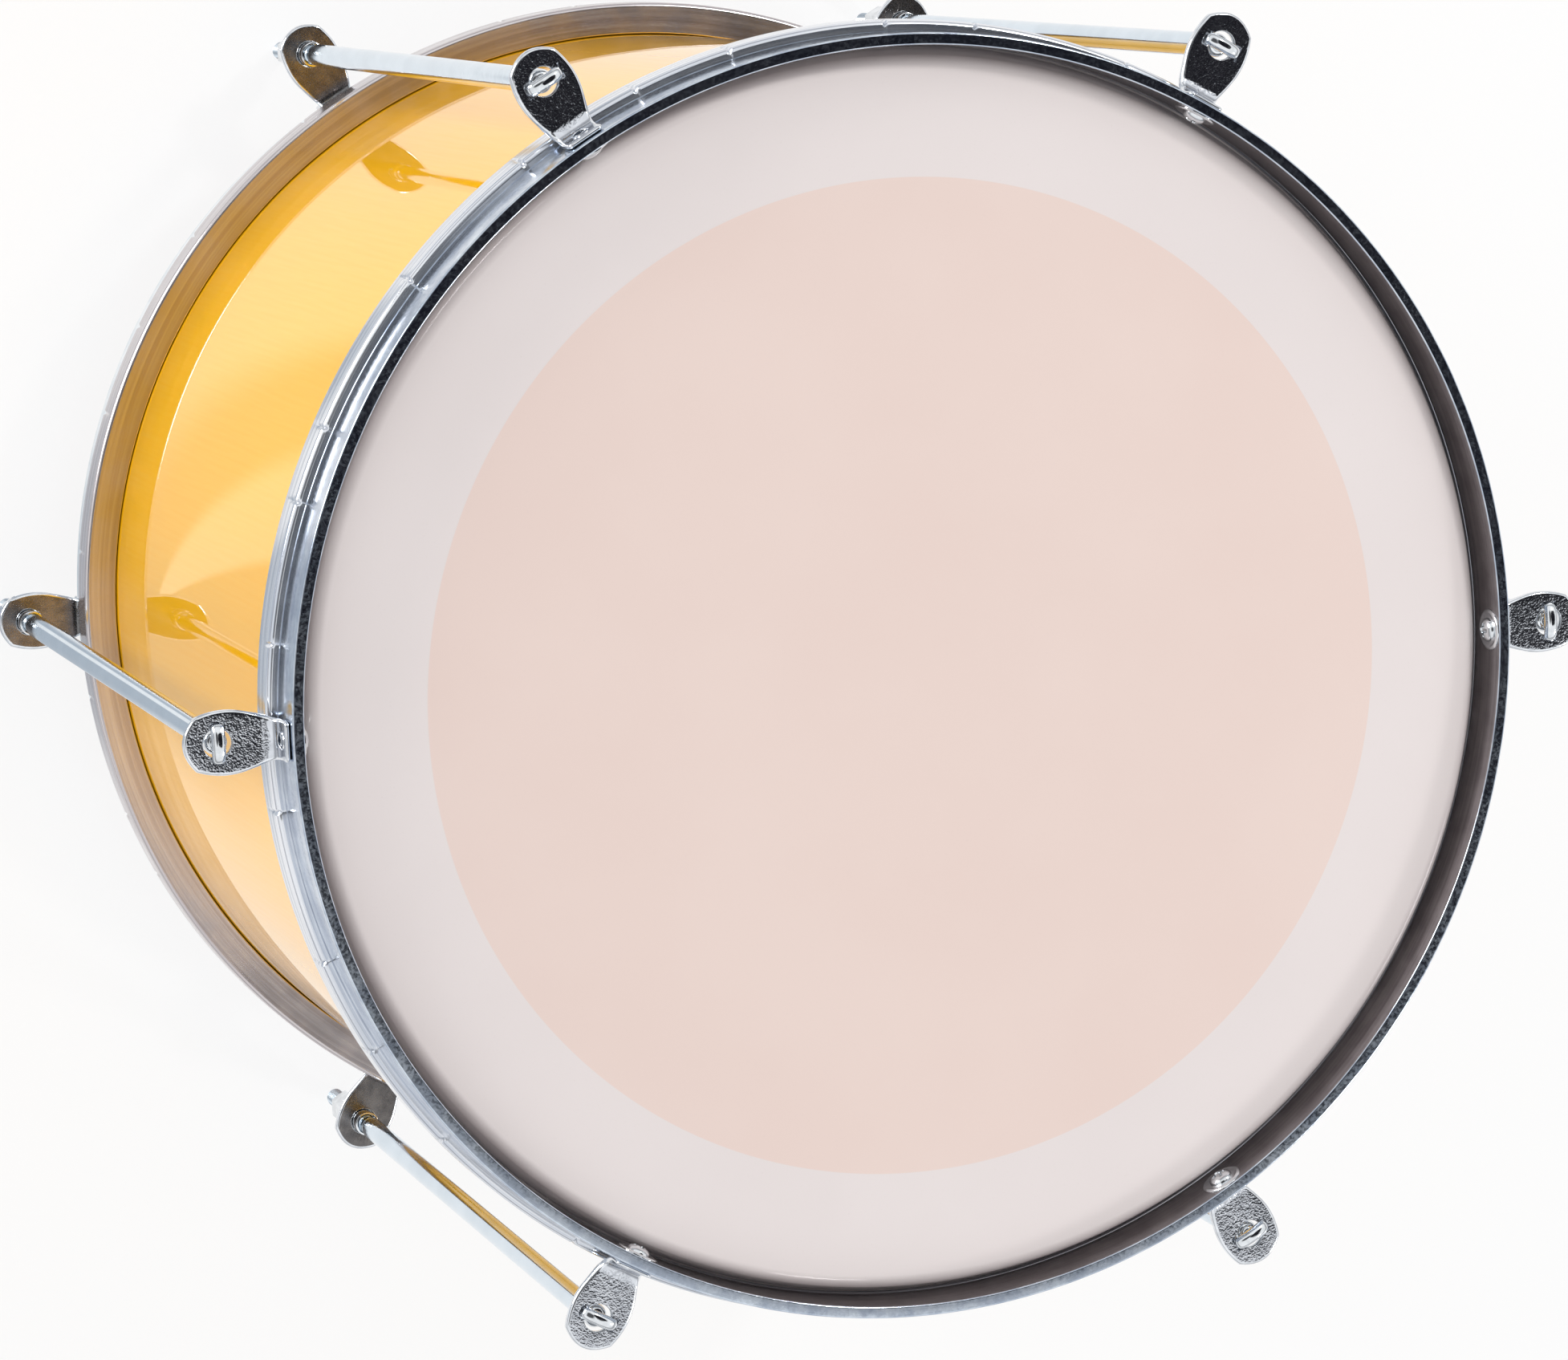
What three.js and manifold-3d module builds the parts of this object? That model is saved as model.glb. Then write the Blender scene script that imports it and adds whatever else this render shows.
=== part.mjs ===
// Repinique: a small two-headed samba drum, stood upright on the ends of its tension rods.
// Lengths are in millimetres. +Z runs up the drum's axis and the upper head is the one that is played.
// Each half is modelled with heights from the drum's middle; the lower half is the upper one turned over.
import * as THREE from 'three';
import { mergeVertices } from 'three/addons/utils/BufferGeometryUtils.js';
import Module from 'manifold-3d';

const wasm = await Module();
wasm.setup();

// Drum as a whole
const drumHeight = 248; // from the edge of one counter hoop to the edge of the other
const lugCount = 6; // tension rods round the drum
const lugReach = 15.8; // from a counter hoop's outer face out to a rod's axis
const touchGap = 0.3; // left between pieces that touch
const cutOverrun = 1; // how far a cutting solid runs past what it cuts
const mergeDistance = 0.0005; // points closer than this become one

// Shell: one plain cylinder whose ends roll inward as bearing edges
const shellRadius = 152.4;
const shellWall = 1.2;
const edgeBendRadius = 3; // outside of the rolled edge
const edgeLipLength = 2.5; // straight lip inside the rolled edge

// Heads: film with a moulded collar and a hem that the flesh hoop grips
const headCrown = 6.8; // playing surface above the flesh hoop's top
const filmWall = 0.5;
const hemWidth = 3.1;
const dampingRingWidth = 22.9;
const dampingRingWall = 0.4;

// Flesh hoops: rounded channel with an inner wall and a lip over the hem
const fleshInnerClearance = 0.5; // to the shell
const fleshInnerWall = 1;
const fleshInnerWallRise = 1.4; // above the floor under the hem
const fleshOuterWall = 2.4;
const fleshHeight = 10.2;
const fleshLipWall = 2;
const fleshCornerRadius = 1.2;
const collarClearance = 0.5; // each side of the film in the slot

// Counter hoops: flat bar bent into a ring
const hoopCollarClearance = 0.6; // to the film's collar
const hoopWall = 3;
const hoopHeight = 14;
const hoopArris = 0.7;

// Ears: bent plates, leg on the counter hoop's outer face, plate pointing outward
const earPlateRise = 2.3; // plate's inner face above the counter hoop's far edge
const earPlateWall = 2;
const earLegWall = 1.3;
const earFilletRadius = 4; // inside of the bend
const earHeelRadius = 4.2; // outside of the bend
const earLegTopDrop = 2.2; // end of the leg below the hoop's near edge
const earNeckWidth = 10;
const earFlareStart = 3.4; // the ear begins to widen this far before its flat plate
const earFlareShares = [0.25, 0.45]; // reach of the widening curve's two guide points along it
const earBroadWidth = 15.8;
const earBroadInset = 2; // widest place, inward of the rod's axis
const earEndWidth = 13;
const earEndBow = 3;
const earTipReach = 8.3; // from the rod's axis to the plate's tip
const earHoleClearance = 0.75; // round the rod's shank
const earSeatDepth = 0.8; // shallow seat for the rod's head

// Ear screws: domed heads inside the counter hoop
const screwDropShare = 0.45; // of the leg's free height, from its end down to the screw
const screwShankRadius = 2;
const screwHeadRadius = 5.3;
const screwHeadHeight = 2.2;
const screwHeadRim = 0.4;

// Tension rods
const rodRadius = 3;
const rodStepDown = 0.6; // threaded tail's radius under the shank's
const rodTaperLength = 6;
const rodEndReach = 12.9; // rod ends below its nut
const rodTailChamfer = 0.6;
const rodHeadLap = 1.05; // past the ear's hole at each end
const rodHeadWidth = 3.1;
const rodHeadHeight = 3.2;
const rodHeadSide = 1.2; // straight side under the head's dome
const rodNeckLap = 0.3; // shank runs this far up into the head

// Washers and barrel nuts
const washerWidth = 1.75; // from the hole to the rim
const washerWall = 1.2;
const nutFlatLap = 0.25; // hexagon's flats past the ear's hole
const nutLength = 17;
const nutCollarReach = 4; // collar past the inner face of the lower ear

// Facets
const facetsPerLug = 8;
const ringFacets = lugCount * facetsPerLug;
const roundFacets = 12;
const holeFacets = 16;
const hexFacets = 6;
const bendSteps = 2;
const earCurveSteps = 4;
const domeSteps = 3;

const fullTurn = 2 * Math.PI;
const half = drumHeight / 2;

// A facet's middle lies closer to the axis than its corners by this share of the radius
const flatShare = (facets) => Math.cos(Math.PI / facets);

// A hole of this radius keeps the touching gap all round a piece of the given radius
const holeAround = (radius, facets) => (radius + touchGap) / flatShare(facets);

function arc(centreX, centreY, radius, fromDegrees, toDegrees, steps) {
  const points = [];
  for (let step = 0; step <= steps; step += 1) {
    const degrees = fromDegrees + ((toDegrees - fromDegrees) * step) / steps;
    const angle = THREE.MathUtils.degToRad(degrees);
    points.push([centreX + radius * Math.cos(angle), centreY + radius * Math.sin(angle)]);
  }
  return points;
}

// Turns an outline of [radius, height] points about +Z. It starts and ends on the axis, or is closed here.
// Half a facet of turn puts the middle of a facet, not a corner, on each lug.
function turned(outline, facets) {
  const points = outline.map(([radius, height]) => new THREE.Vector2(radius, height));
  if (THREE.ShapeUtils.area(points) < 0) points.reverse();
  if (points[0].x > 0) points.push(points[0].clone());
  const geometry = new THREE.LatheGeometry(points, facets, Math.PI / facets);
  geometry.rotateX(Math.PI / 2);
  return geometry;
}

function solidOf(geometry) {
  const bare = geometry.clone();
  bare.deleteAttribute('normal');
  bare.deleteAttribute('uv');
  const merged = mergeVertices(bare, mergeDistance);
  const corners = merged.index.array;
  const triangles = [];
  for (let first = 0; first < corners.length; first += 3) {
    const [a, b, c] = corners.slice(first, first + 3);
    if (a !== b && b !== c && c !== a) triangles.push(a, b, c);
  }
  const vertProperties = new Float32Array(merged.attributes.position.array);
  const triVerts = new Uint32Array(triangles);
  return new wasm.Manifold(new wasm.Mesh({ numProp: 3, vertProperties, triVerts }));
}

function geometryOf(solid) {
  const mesh = solid.getMesh();
  const geometry = new THREE.BufferGeometry();
  geometry.setAttribute('position', new THREE.BufferAttribute(new Float32Array(mesh.vertProperties), 3));
  geometry.setIndex(new THREE.BufferAttribute(new Uint32Array(mesh.triVerts), 1));
  geometry.computeVertexNormals();
  return geometry;
}

// A round bar along +X from one distance to another, at a height above the middle
function barAlongX(radius, from, to, height, facets) {
  const bar = new THREE.CylinderGeometry(radius, radius, to - from, facets);
  bar.rotateZ(Math.PI / 2);
  bar.translate((from + to) / 2, 0, height);
  return bar;
}

// A round bar along +Z
function barAlongZ(radius, from, to, facets) {
  const bar = new THREE.CylinderGeometry(radius, radius, to - from, facets);
  bar.rotateX(Math.PI / 2);
  bar.translate(0, 0, (from + to) / 2);
  return bar;
}

// A flat outline given a depth along its own +Z, without bevels
function extruded(outline, depth) {
  return new THREE.ExtrudeGeometry(outline, {
    depth,
    bevelEnabled: false,
    curveSegments: earCurveSteps,
  });
}

// Radii that pieces share, from the shell outward
const crestRadius = shellRadius - edgeBendRadius;
const fleshInnerRadius = shellRadius + fleshInnerClearance;
const fleshInnerWallRadius = fleshInnerRadius + fleshInnerWall;
const collarInnerRadius = fleshInnerWallRadius + collarClearance;
const collarOuterRadius = collarInnerRadius + filmWall;
const fleshLipRadius = collarOuterRadius + collarClearance;
const hemOuterRadius = fleshLipRadius + hemWidth;
const hoopInnerRadius = collarOuterRadius + hoopCollarClearance;
const hoopOuterRadius = hoopInnerRadius + hoopWall;
const earSeatRadius = hoopOuterRadius * flatShare(ringFacets) + touchGap;
const earLegFace = earSeatRadius + earLegWall;
const lugCircleRadius = hoopOuterRadius + lugReach;

// Heights that pieces share, from the counter hoop's near edge down
const earLegTop = half - earLegTopDrop;
const hoopFarEdge = half - hoopHeight;
const earInnerFace = hoopFarEdge + earPlateRise;
const earOuterFace = earInnerFace + earPlateWall;
const screwHeight = earLegTop - screwDropShare * (earLegTop - earOuterFace);
const fleshTop = hoopFarEdge - touchGap;
const fleshLipBottom = fleshTop - fleshLipWall;
const hemTop = fleshLipBottom - touchGap;
const playingSurface = fleshTop + headCrown;
const bearingTop = playingSurface - filmWall - touchGap;
const bendCentreHeight = bearingTop - edgeBendRadius;

// Small radii that the screws, rods, ears and nuts share
const screwHoleRadius = holeAround(screwShankRadius, roundFacets);
const rodThreadRadius = rodRadius - rodStepDown;
const earHoleRadius = rodRadius + earHoleClearance;
const rodHeadLength = 2 * (earHoleRadius + rodHeadLap);
const nutCollarRadius = earHoleRadius * flatShare(holeFacets) - touchGap;

// Heights along a rod, under the lower ear
const washerTop = -earOuterFace - touchGap;
const washerBottom = washerTop - washerWall;
const nutTop = washerBottom - touchGap;
const nutBottom = nutTop - nutLength;
const nutCollarTop = -earInnerFace + nutCollarReach;
const rodEnd = nutBottom - rodEndReach;

const finishes = {
  goldShell: { color: '#e8b32a', roughness: 0.12, metalness: 1 },
  film: { color: '#e6d8d2', roughness: 0.45, metalness: 0 },
  dampingFilm: { color: '#f1ecea', roughness: 0.5, metalness: 0 },
  aluminium: { color: '#c9cacd', roughness: 0.25, metalness: 1 },
  hoopSteel: { color: '#b9bdc6', roughness: 0.35, metalness: 1 },
  earChrome: { color: '#c2c5c9', roughness: 0.25, metalness: 1 },
  zincSteel: { color: '#c6cdd6', roughness: 0.3, metalness: 1 },
};

function piece(name, geometry, finish) {
  const mesh = new THREE.Mesh(geometry, new THREE.MeshStandardMaterial(finishes[finish]));
  mesh.name = name;
  return mesh;
}

// Shell: out and up the wall, over the rolled edge, and back down inside; the lower end mirrors the upper one
function shellGeometry() {
  const innerBendRadius = edgeBendRadius - shellWall;
  const lipEnd = bendCentreHeight - edgeLipLength;
  const upperEnd = [
    ...arc(crestRadius, bendCentreHeight, edgeBendRadius, 0, 180, 2 * bendSteps),
    [crestRadius - edgeBendRadius, lipEnd],
    [crestRadius - innerBendRadius, lipEnd],
    ...arc(crestRadius, bendCentreHeight, innerBendRadius, 180, 0, bendSteps),
  ];
  const lowerEnd = upperEnd.map(([radius, height]) => [radius, -height]).reverse();
  return turned([...upperEnd, ...lowerEnd], ringFacets);
}

// Head film: flat over the shell, round the bearing edge, down the collar and out under the flesh hoop's lip
function headFilmGeometry() {
  const innerBend = edgeBendRadius + touchGap;
  const outerBend = innerBend + filmWall;
  const collarTurn = (fleshTop + fleshLipBottom) / 2;
  return turned(
    [
      [0, playingSurface],
      ...arc(crestRadius, bendCentreHeight, outerBend, 90, 0, bendSteps),
      [collarOuterRadius, collarTurn],
      [collarOuterRadius, hemTop],
      [hemOuterRadius, hemTop],
      [hemOuterRadius, hemTop - filmWall],
      [collarInnerRadius, hemTop - filmWall],
      [collarInnerRadius, collarTurn],
      ...arc(crestRadius, bendCentreHeight, innerBend, 0, 90, bendSteps),
      [0, playingSurface - filmWall],
    ],
    ringFacets,
  );
}

// Damping ring: a flat film ring under the played head, inside the shell's rolled edge
function dampingRingGeometry() {
  const outerRadius = crestRadius - edgeBendRadius;
  const innerRadius = outerRadius - dampingRingWidth;
  return turned(
    [
      [innerRadius, bearingTop],
      [outerRadius, bearingTop],
      [outerRadius, bearingTop - dampingRingWall],
      [innerRadius, bearingTop - dampingRingWall],
    ],
    ringFacets,
  );
}

function fleshHoopGeometry() {
  const bottom = fleshTop - fleshHeight;
  const cavityOuterRadius = hemOuterRadius + touchGap;
  const cavityBottom = hemTop - filmWall - touchGap;
  const innerWallTop = cavityBottom + fleshInnerWallRise;
  const cornerCentre = cavityOuterRadius + fleshOuterWall - fleshCornerRadius;
  return turned(
    [
      ...arc(cornerCentre, bottom + fleshCornerRadius, fleshCornerRadius, -90, 0, bendSteps),
      ...arc(cornerCentre, fleshTop - fleshCornerRadius, fleshCornerRadius, 0, 90, bendSteps),
      [fleshLipRadius, fleshTop],
      [fleshLipRadius, fleshLipBottom],
      [cavityOuterRadius, fleshLipBottom],
      [cavityOuterRadius, cavityBottom],
      [fleshInnerWallRadius, cavityBottom],
      [fleshInnerWallRadius, innerWallTop],
      [fleshInnerRadius, innerWallTop],
      [fleshInnerRadius, bottom],
    ],
    ringFacets,
  );
}

function counterHoopGeometry() {
  const bar = turned(
    [
      [hoopInnerRadius + hoopArris, hoopFarEdge],
      [hoopOuterRadius - hoopArris, hoopFarEdge],
      [hoopOuterRadius, hoopFarEdge + hoopArris],
      [hoopOuterRadius, half - hoopArris],
      [hoopOuterRadius - hoopArris, half],
      [hoopInnerRadius + hoopArris, half],
      [hoopInnerRadius, half - hoopArris],
      [hoopInnerRadius, hoopFarEdge + hoopArris],
    ],
    ringFacets,
  );
  let hoop = solidOf(bar);
  const holeStart = hoopInnerRadius - cutOverrun;
  const holeEnd = hoopOuterRadius + cutOverrun;
  for (let lug = 0; lug < lugCount; lug += 1) {
    const hole = barAlongX(screwHoleRadius, holeStart, holeEnd, screwHeight, roundFacets);
    hole.rotateZ((lug * fullTurn) / lugCount);
    hoop = hoop.subtract(solidOf(hole));
  }
  return geometryOf(hoop);
}

// The ear's plate seen from above, from inside the counter hoop to its bowed end
function earOutline(start, neckEnd) {
  const neck = earNeckWidth / 2;
  const broad = earBroadWidth / 2;
  const end = earEndWidth / 2;
  const broadX = lugCircleRadius - earBroadInset;
  const endX = lugCircleRadius + earTipReach - earEndBow;
  const flareX = neckEnd - earFlareStart;
  const [flareOut, flareIn] = earFlareShares.map((share) => share * (broadX - flareX));
  const taper = (endX - broadX) / 2;
  const outline = new THREE.Shape();
  outline.moveTo(start, -neck);
  outline.lineTo(flareX, -neck);
  outline.bezierCurveTo(flareX + flareOut, -neck, broadX - flareIn, -broad, broadX, -broad);
  outline.quadraticCurveTo(broadX + taper, -broad, endX, -end);
  outline.quadraticCurveTo(endX + 2 * earEndBow, 0, endX, end);
  outline.quadraticCurveTo(broadX + taper, broad, broadX, broad);
  outline.bezierCurveTo(broadX - flareIn, broad, flareX + flareOut, neck, flareX, neck);
  outline.lineTo(start, neck);
  return outline;
}

// Ear, along +X: the L seen from the side, kept only inside the plate's outline seen from above
function earGeometry() {
  const bendX = earLegFace + earFilletRadius;
  const bendHeight = earOuterFace + earFilletRadius;
  const heelX = earSeatRadius + earHeelRadius;
  const heelHeight = earInnerFace + earHeelRadius;
  const stripEnd = lugCircleRadius + earTipReach + cutOverrun;
  const side = new THREE.Shape();
  side.moveTo(heelX, earInnerFace);
  side.lineTo(stripEnd, earInnerFace);
  side.lineTo(stripEnd, earOuterFace);
  side.lineTo(bendX, earOuterFace);
  side.absarc(bendX, bendHeight, earFilletRadius, -Math.PI / 2, -Math.PI, true);
  side.lineTo(earLegFace, earLegTop);
  side.lineTo(earSeatRadius, earLegTop);
  side.absarc(heelX, heelHeight, earHeelRadius, -Math.PI, -Math.PI / 2, false);
  const stripWidth = earBroadWidth + 2 * cutOverrun;
  const strip = extruded(side, stripWidth);
  strip.translate(0, 0, -stripWidth / 2);
  strip.rotateX(Math.PI / 2);

  const start = earSeatRadius - cutOverrun;
  const blankBottom = earInnerFace - cutOverrun;
  const blank = extruded(earOutline(start, bendX), earLegTop + cutOverrun - blankBottom);
  blank.translate(0, 0, blankBottom);

  const rodHole = barAlongZ(earHoleRadius, blankBottom, earOuterFace + cutOverrun, holeFacets);
  rodHole.translate(lugCircleRadius, 0, 0);
  const seatHeight = earSeatDepth + cutOverrun;
  const seat = new THREE.BoxGeometry(rodHeadWidth + 2 * touchGap, rodHeadLength + 2 * touchGap, seatHeight);
  seat.translate(lugCircleRadius, 0, earOuterFace - earSeatDepth + seatHeight / 2);
  const screwHole = barAlongX(screwHoleRadius, start, bendX + cutOverrun, screwHeight, roundFacets);

  let ear = solidOf(strip).intersect(solidOf(blank));
  for (const cut of [rodHole, seat, screwHole]) ear = ear.subtract(solidOf(cut));
  return geometryOf(ear);
}

// Ear screw, along +X: domed head inside the counter hoop, end flush with the ear's leg
function earScrewGeometry() {
  const headSeat = hoopInnerRadius * flatShare(ringFacets) - touchGap;
  const domeBase = headSeat - screwHeadRim;
  const domeShare = (screwHeadHeight - screwHeadRim) / screwHeadRadius;
  const dome = arc(0, 0, screwHeadRadius, -90, 0, domeSteps).map(([across, along]) => [
    across,
    domeBase + along * domeShare,
  ]);
  dome[0][0] = 0;
  const screw = turned(
    [
      ...dome,
      [screwHeadRadius, headSeat],
      [screwShankRadius, headSeat],
      [screwShankRadius, earLegFace],
      [0, earLegFace],
    ],
    roundFacets,
  );
  screw.rotateY(Math.PI / 2);
  screw.translate(0, 0, screwHeight);
  return screw;
}

// Tension rod, along +Z: chamfered threaded tail, taper, round shank, and a domed T-head lying across the ear
function tensionRodGeometry() {
  const taperStart = nutCollarTop + touchGap;
  const headBottom = earOuterFace - earSeatDepth + touchGap;
  const domeBase = headBottom + rodHeadSide;
  const shankTop = headBottom + rodNeckLap;
  const shank = turned(
    [
      [0, rodEnd],
      [rodThreadRadius - rodTailChamfer, rodEnd],
      [rodThreadRadius, rodEnd + rodTailChamfer],
      [rodThreadRadius, taperStart],
      [rodRadius, taperStart + rodTaperLength],
      [rodRadius, shankTop],
      [0, shankTop],
    ],
    roundFacets,
  );
  const head = new THREE.Shape();
  head.moveTo(-rodHeadLength / 2, headBottom);
  head.lineTo(rodHeadLength / 2, headBottom);
  head.absellipse(0, domeBase, rodHeadLength / 2, rodHeadHeight - rodHeadSide, 0, Math.PI, false, 0);
  const bar = extruded(head, rodHeadWidth);
  bar.translate(0, 0, -rodHeadWidth / 2);
  bar.rotateX(Math.PI / 2);
  bar.rotateZ(Math.PI / 2);
  return geometryOf(solidOf(shank).add(solidOf(bar)));
}

// Washer under the lower ear, round the nut's collar
function washerGeometry() {
  const rimRadius = earHoleRadius + washerWidth;
  return turned(
    [
      [earHoleRadius, washerTop],
      [rimRadius, washerTop],
      [rimRadius, washerBottom],
      [earHoleRadius, washerBottom],
    ],
    holeFacets,
  );
}

// Barrel nut: hexagon under the washer, with a collar that passes up through washer and ear
function barrelNutGeometry() {
  const hexRadius = (earHoleRadius + nutFlatLap) / flatShare(hexFacets);
  const boreRadius = holeAround(rodThreadRadius, roundFacets);
  const hexagon = barAlongZ(hexRadius, nutBottom, nutTop, hexFacets);
  const collar = barAlongZ(nutCollarRadius, nutTop - cutOverrun, nutCollarTop, holeFacets);
  const bore = barAlongZ(boreRadius, nutBottom - cutOverrun, nutCollarTop + cutOverrun, roundFacets);
  return geometryOf(solidOf(hexagon).add(solidOf(collar)).subtract(solidOf(bore)));
}

// Assembly: the two halves share one set of pieces, and the lower half is turned over about X
const filmShape = headFilmGeometry();
const fleshHoopShape = fleshHoopGeometry();
const counterHoopShape = counterHoopGeometry();
const earShape = earGeometry();
const earScrewShape = earScrewGeometry();
const rodShape = tensionRodGeometry();
const washerShape = washerGeometry();
const nutShape = barrelNutGeometry();

const drum = new THREE.Group();
const middle = new THREE.Group();
middle.position.z = -rodEnd;
drum.add(middle);
middle.add(piece('shell', shellGeometry(), 'goldShell'));

for (const side of ['top', 'bottom']) {
  const halfDrum = new THREE.Group();
  if (side === 'bottom') halfDrum.rotation.x = Math.PI;
  middle.add(halfDrum);
  halfDrum.add(piece(`${side}_head_film`, filmShape, 'film'));
  halfDrum.add(piece(`${side}_flesh_hoop`, fleshHoopShape, 'aluminium'));
  halfDrum.add(piece(`${side}_counter_hoop`, counterHoopShape, 'hoopSteel'));
  if (side === 'top') halfDrum.add(piece('top_damping_ring', dampingRingGeometry(), 'dampingFilm'));
  for (let lug = 0; lug < lugCount; lug += 1) {
    const place = new THREE.Group();
    const angle = (lug * fullTurn) / lugCount;
    place.rotation.z = side === 'bottom' ? -angle : angle;
    halfDrum.add(place);
    place.add(piece(`${side}_ear_${lug + 1}`, earShape, 'earChrome'));
    place.add(piece(`${side}_ear_screw_${lug + 1}`, earScrewShape, 'zincSteel'));
  }
}

for (let lug = 0; lug < lugCount; lug += 1) {
  const turnedLug = new THREE.Group();
  turnedLug.rotation.z = (lug * fullTurn) / lugCount;
  middle.add(turnedLug);
  const rodAxis = new THREE.Group();
  rodAxis.position.x = lugCircleRadius;
  turnedLug.add(rodAxis);
  rodAxis.add(piece(`tension_rod_${lug + 1}`, rodShape, 'zincSteel'));
  rodAxis.add(piece(`washer_${lug + 1}`, washerShape, 'zincSteel'));
  rodAxis.add(piece(`barrel_nut_${lug + 1}`, nutShape, 'zincSteel'));
}

export default drum;
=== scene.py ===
# %% [markdown]
# A small samba drum stands upright on the ends of its six tension rods, seen from above and to one side.
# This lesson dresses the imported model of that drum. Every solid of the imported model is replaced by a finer
# piece of the same size in the same place, so that the drum can be taken apart into the same fifty pieces.
# Lengths are written in millimetres and become metres when a mesh is made. +Z runs up the drum's axis.

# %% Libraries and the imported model
import math
import random

import bmesh
import bpy
from mathutils import Matrix, Vector


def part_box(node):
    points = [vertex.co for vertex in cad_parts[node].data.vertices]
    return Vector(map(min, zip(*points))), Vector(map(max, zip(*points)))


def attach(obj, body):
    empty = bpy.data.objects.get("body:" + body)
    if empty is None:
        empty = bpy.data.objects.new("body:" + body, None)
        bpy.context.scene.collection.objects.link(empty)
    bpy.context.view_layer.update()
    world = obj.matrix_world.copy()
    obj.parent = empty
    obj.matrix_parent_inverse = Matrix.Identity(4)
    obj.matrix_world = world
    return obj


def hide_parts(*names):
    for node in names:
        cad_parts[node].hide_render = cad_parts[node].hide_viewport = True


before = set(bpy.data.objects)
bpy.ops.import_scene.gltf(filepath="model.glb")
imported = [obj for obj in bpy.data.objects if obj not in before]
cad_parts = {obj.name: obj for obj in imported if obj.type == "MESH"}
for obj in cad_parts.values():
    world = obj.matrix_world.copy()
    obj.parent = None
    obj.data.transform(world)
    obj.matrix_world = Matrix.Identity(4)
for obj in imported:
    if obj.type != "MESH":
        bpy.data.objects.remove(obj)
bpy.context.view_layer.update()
MM = 0.001
LUGS = 6

# %% [markdown]
# The camera comes first, because everything else is judged through it. It looks down at the drum at 69
# degrees from about 1.4 m away, so the round hoops become broad ellipses, and a long lens keeps both
# ellipses nearly the same shape. It is placed by where it stands and where it aims, and is then rolled
# about its own axis, as on a tripod.

# %% Camera
CAMERA_PLACE = Vector((-0.45026, 0.21035, 1.49157))
CAMERA_AIM = Vector((0.00583, -0.01636, 0.146))
CAMERA_ROLL = math.radians(-112.776)
CAMERA_LENS = 123.97
SENSOR_WIDTH = 36.0


def new_object(name, data):
    """An object in the scene that shows the given data."""
    made = bpy.data.objects.new(name, data)
    bpy.context.scene.collection.objects.link(made)
    return made


look = (CAMERA_AIM - CAMERA_PLACE).normalized()
aimed = look.to_track_quat("-Z", "Y").to_matrix().to_4x4()
camera_data = bpy.data.cameras.new("camera")
camera_data.lens = CAMERA_LENS
camera_data.sensor_width = SENSOR_WIDTH
camera = new_object("camera", camera_data)
camera.matrix_world = Matrix.Translation(CAMERA_PLACE) @ aimed @ Matrix.Rotation(-CAMERA_ROLL, 4, "Z")
bpy.context.scene.camera = camera
bpy.context.scene.view_settings.view_transform = "Standard"
print("camera looks along", [round(part, 3) for part in look])

# %% [markdown]
# Nearly every piece of a drum is turned, rolled or bent from an outline. A lathe helper turns an outline
# about the drum's axis. It takes one outline for each angle, so that a nut's six flats, a screw thread or a
# hoop's crimps can change the outline on the way round, which the screw modifier can't do. Real edges are
# never sharp, so a second helper rounds outline corners.

# %% Outline helpers
def arc(centre_x, centre_y, radius, start, end, steps):
    """Points on a circle, from one angle in degrees to another."""
    points = []
    for step in range(steps + 1):
        angle = math.radians(start + (end - start) * step / steps)
        points.append((centre_x + radius * math.cos(angle), centre_y + radius * math.sin(angle)))
    return points


def rounded(corners, steps=5):
    """A closed outline from (x, y, corner radius) triples."""
    points = []
    count = len(corners)
    for index, (x, y, radius) in enumerate(corners):
        if radius == 0:
            points.append((x, y))
            continue
        corner = Vector((x, y))
        back = (Vector(corners[index - 1][:2]) - corner).normalized()
        ahead = (Vector(corners[(index + 1) % count][:2]) - corner).normalized()
        half_angle = back.angle(ahead) / 2
        centre = corner + (back + ahead).normalized() * (radius / math.sin(half_angle))
        first = corner + back * (radius / math.tan(half_angle)) - centre
        last = corner + ahead * (radius / math.tan(half_angle)) - centre
        start = math.degrees(math.atan2(first.y, first.x))
        sweep = math.degrees(math.atan2(last.y, last.x)) - start
        sweep = (sweep + 180) % 360 - 180
        points += arc(centre.x, centre.y, radius, start, start + sweep, steps)
    return points


def bar_outline(inner, outer, first, last, inner_edge, outer_edge, steps):
    """A flat bar bent into a ring, from its radii, its end heights and the radii of its edges."""
    corners = [(inner, first, inner_edge), (outer, first, outer_edge)]
    corners += [(outer, last, outer_edge), (inner, last, inner_edge)]
    return rounded(corners, steps)


def even_angles(count):
    return [math.tau * step / count for step in range(count)]


# %% Lathe helper
SMOOTH_LIMIT = math.radians(38)
JOIN_DISTANCE = 0.002 * MM
RING_STEPS = 384


def finish_mesh(mesh, smooth_limit=SMOOTH_LIMIT):
    """Joins double points, turns all faces outward and shades the mesh smooth except at hard edges."""
    work = bmesh.new()
    work.from_mesh(mesh)
    bmesh.ops.remove_doubles(work, verts=work.verts, dist=JOIN_DISTANCE)
    bmesh.ops.dissolve_degenerate(work, edges=work.edges, dist=JOIN_DISTANCE)
    bmesh.ops.recalc_face_normals(work, faces=work.faces)
    work.to_mesh(mesh)
    work.free()
    mesh.shade_smooth()
    mesh.set_sharp_from_angle(angle=smooth_limit)
    return mesh


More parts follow.
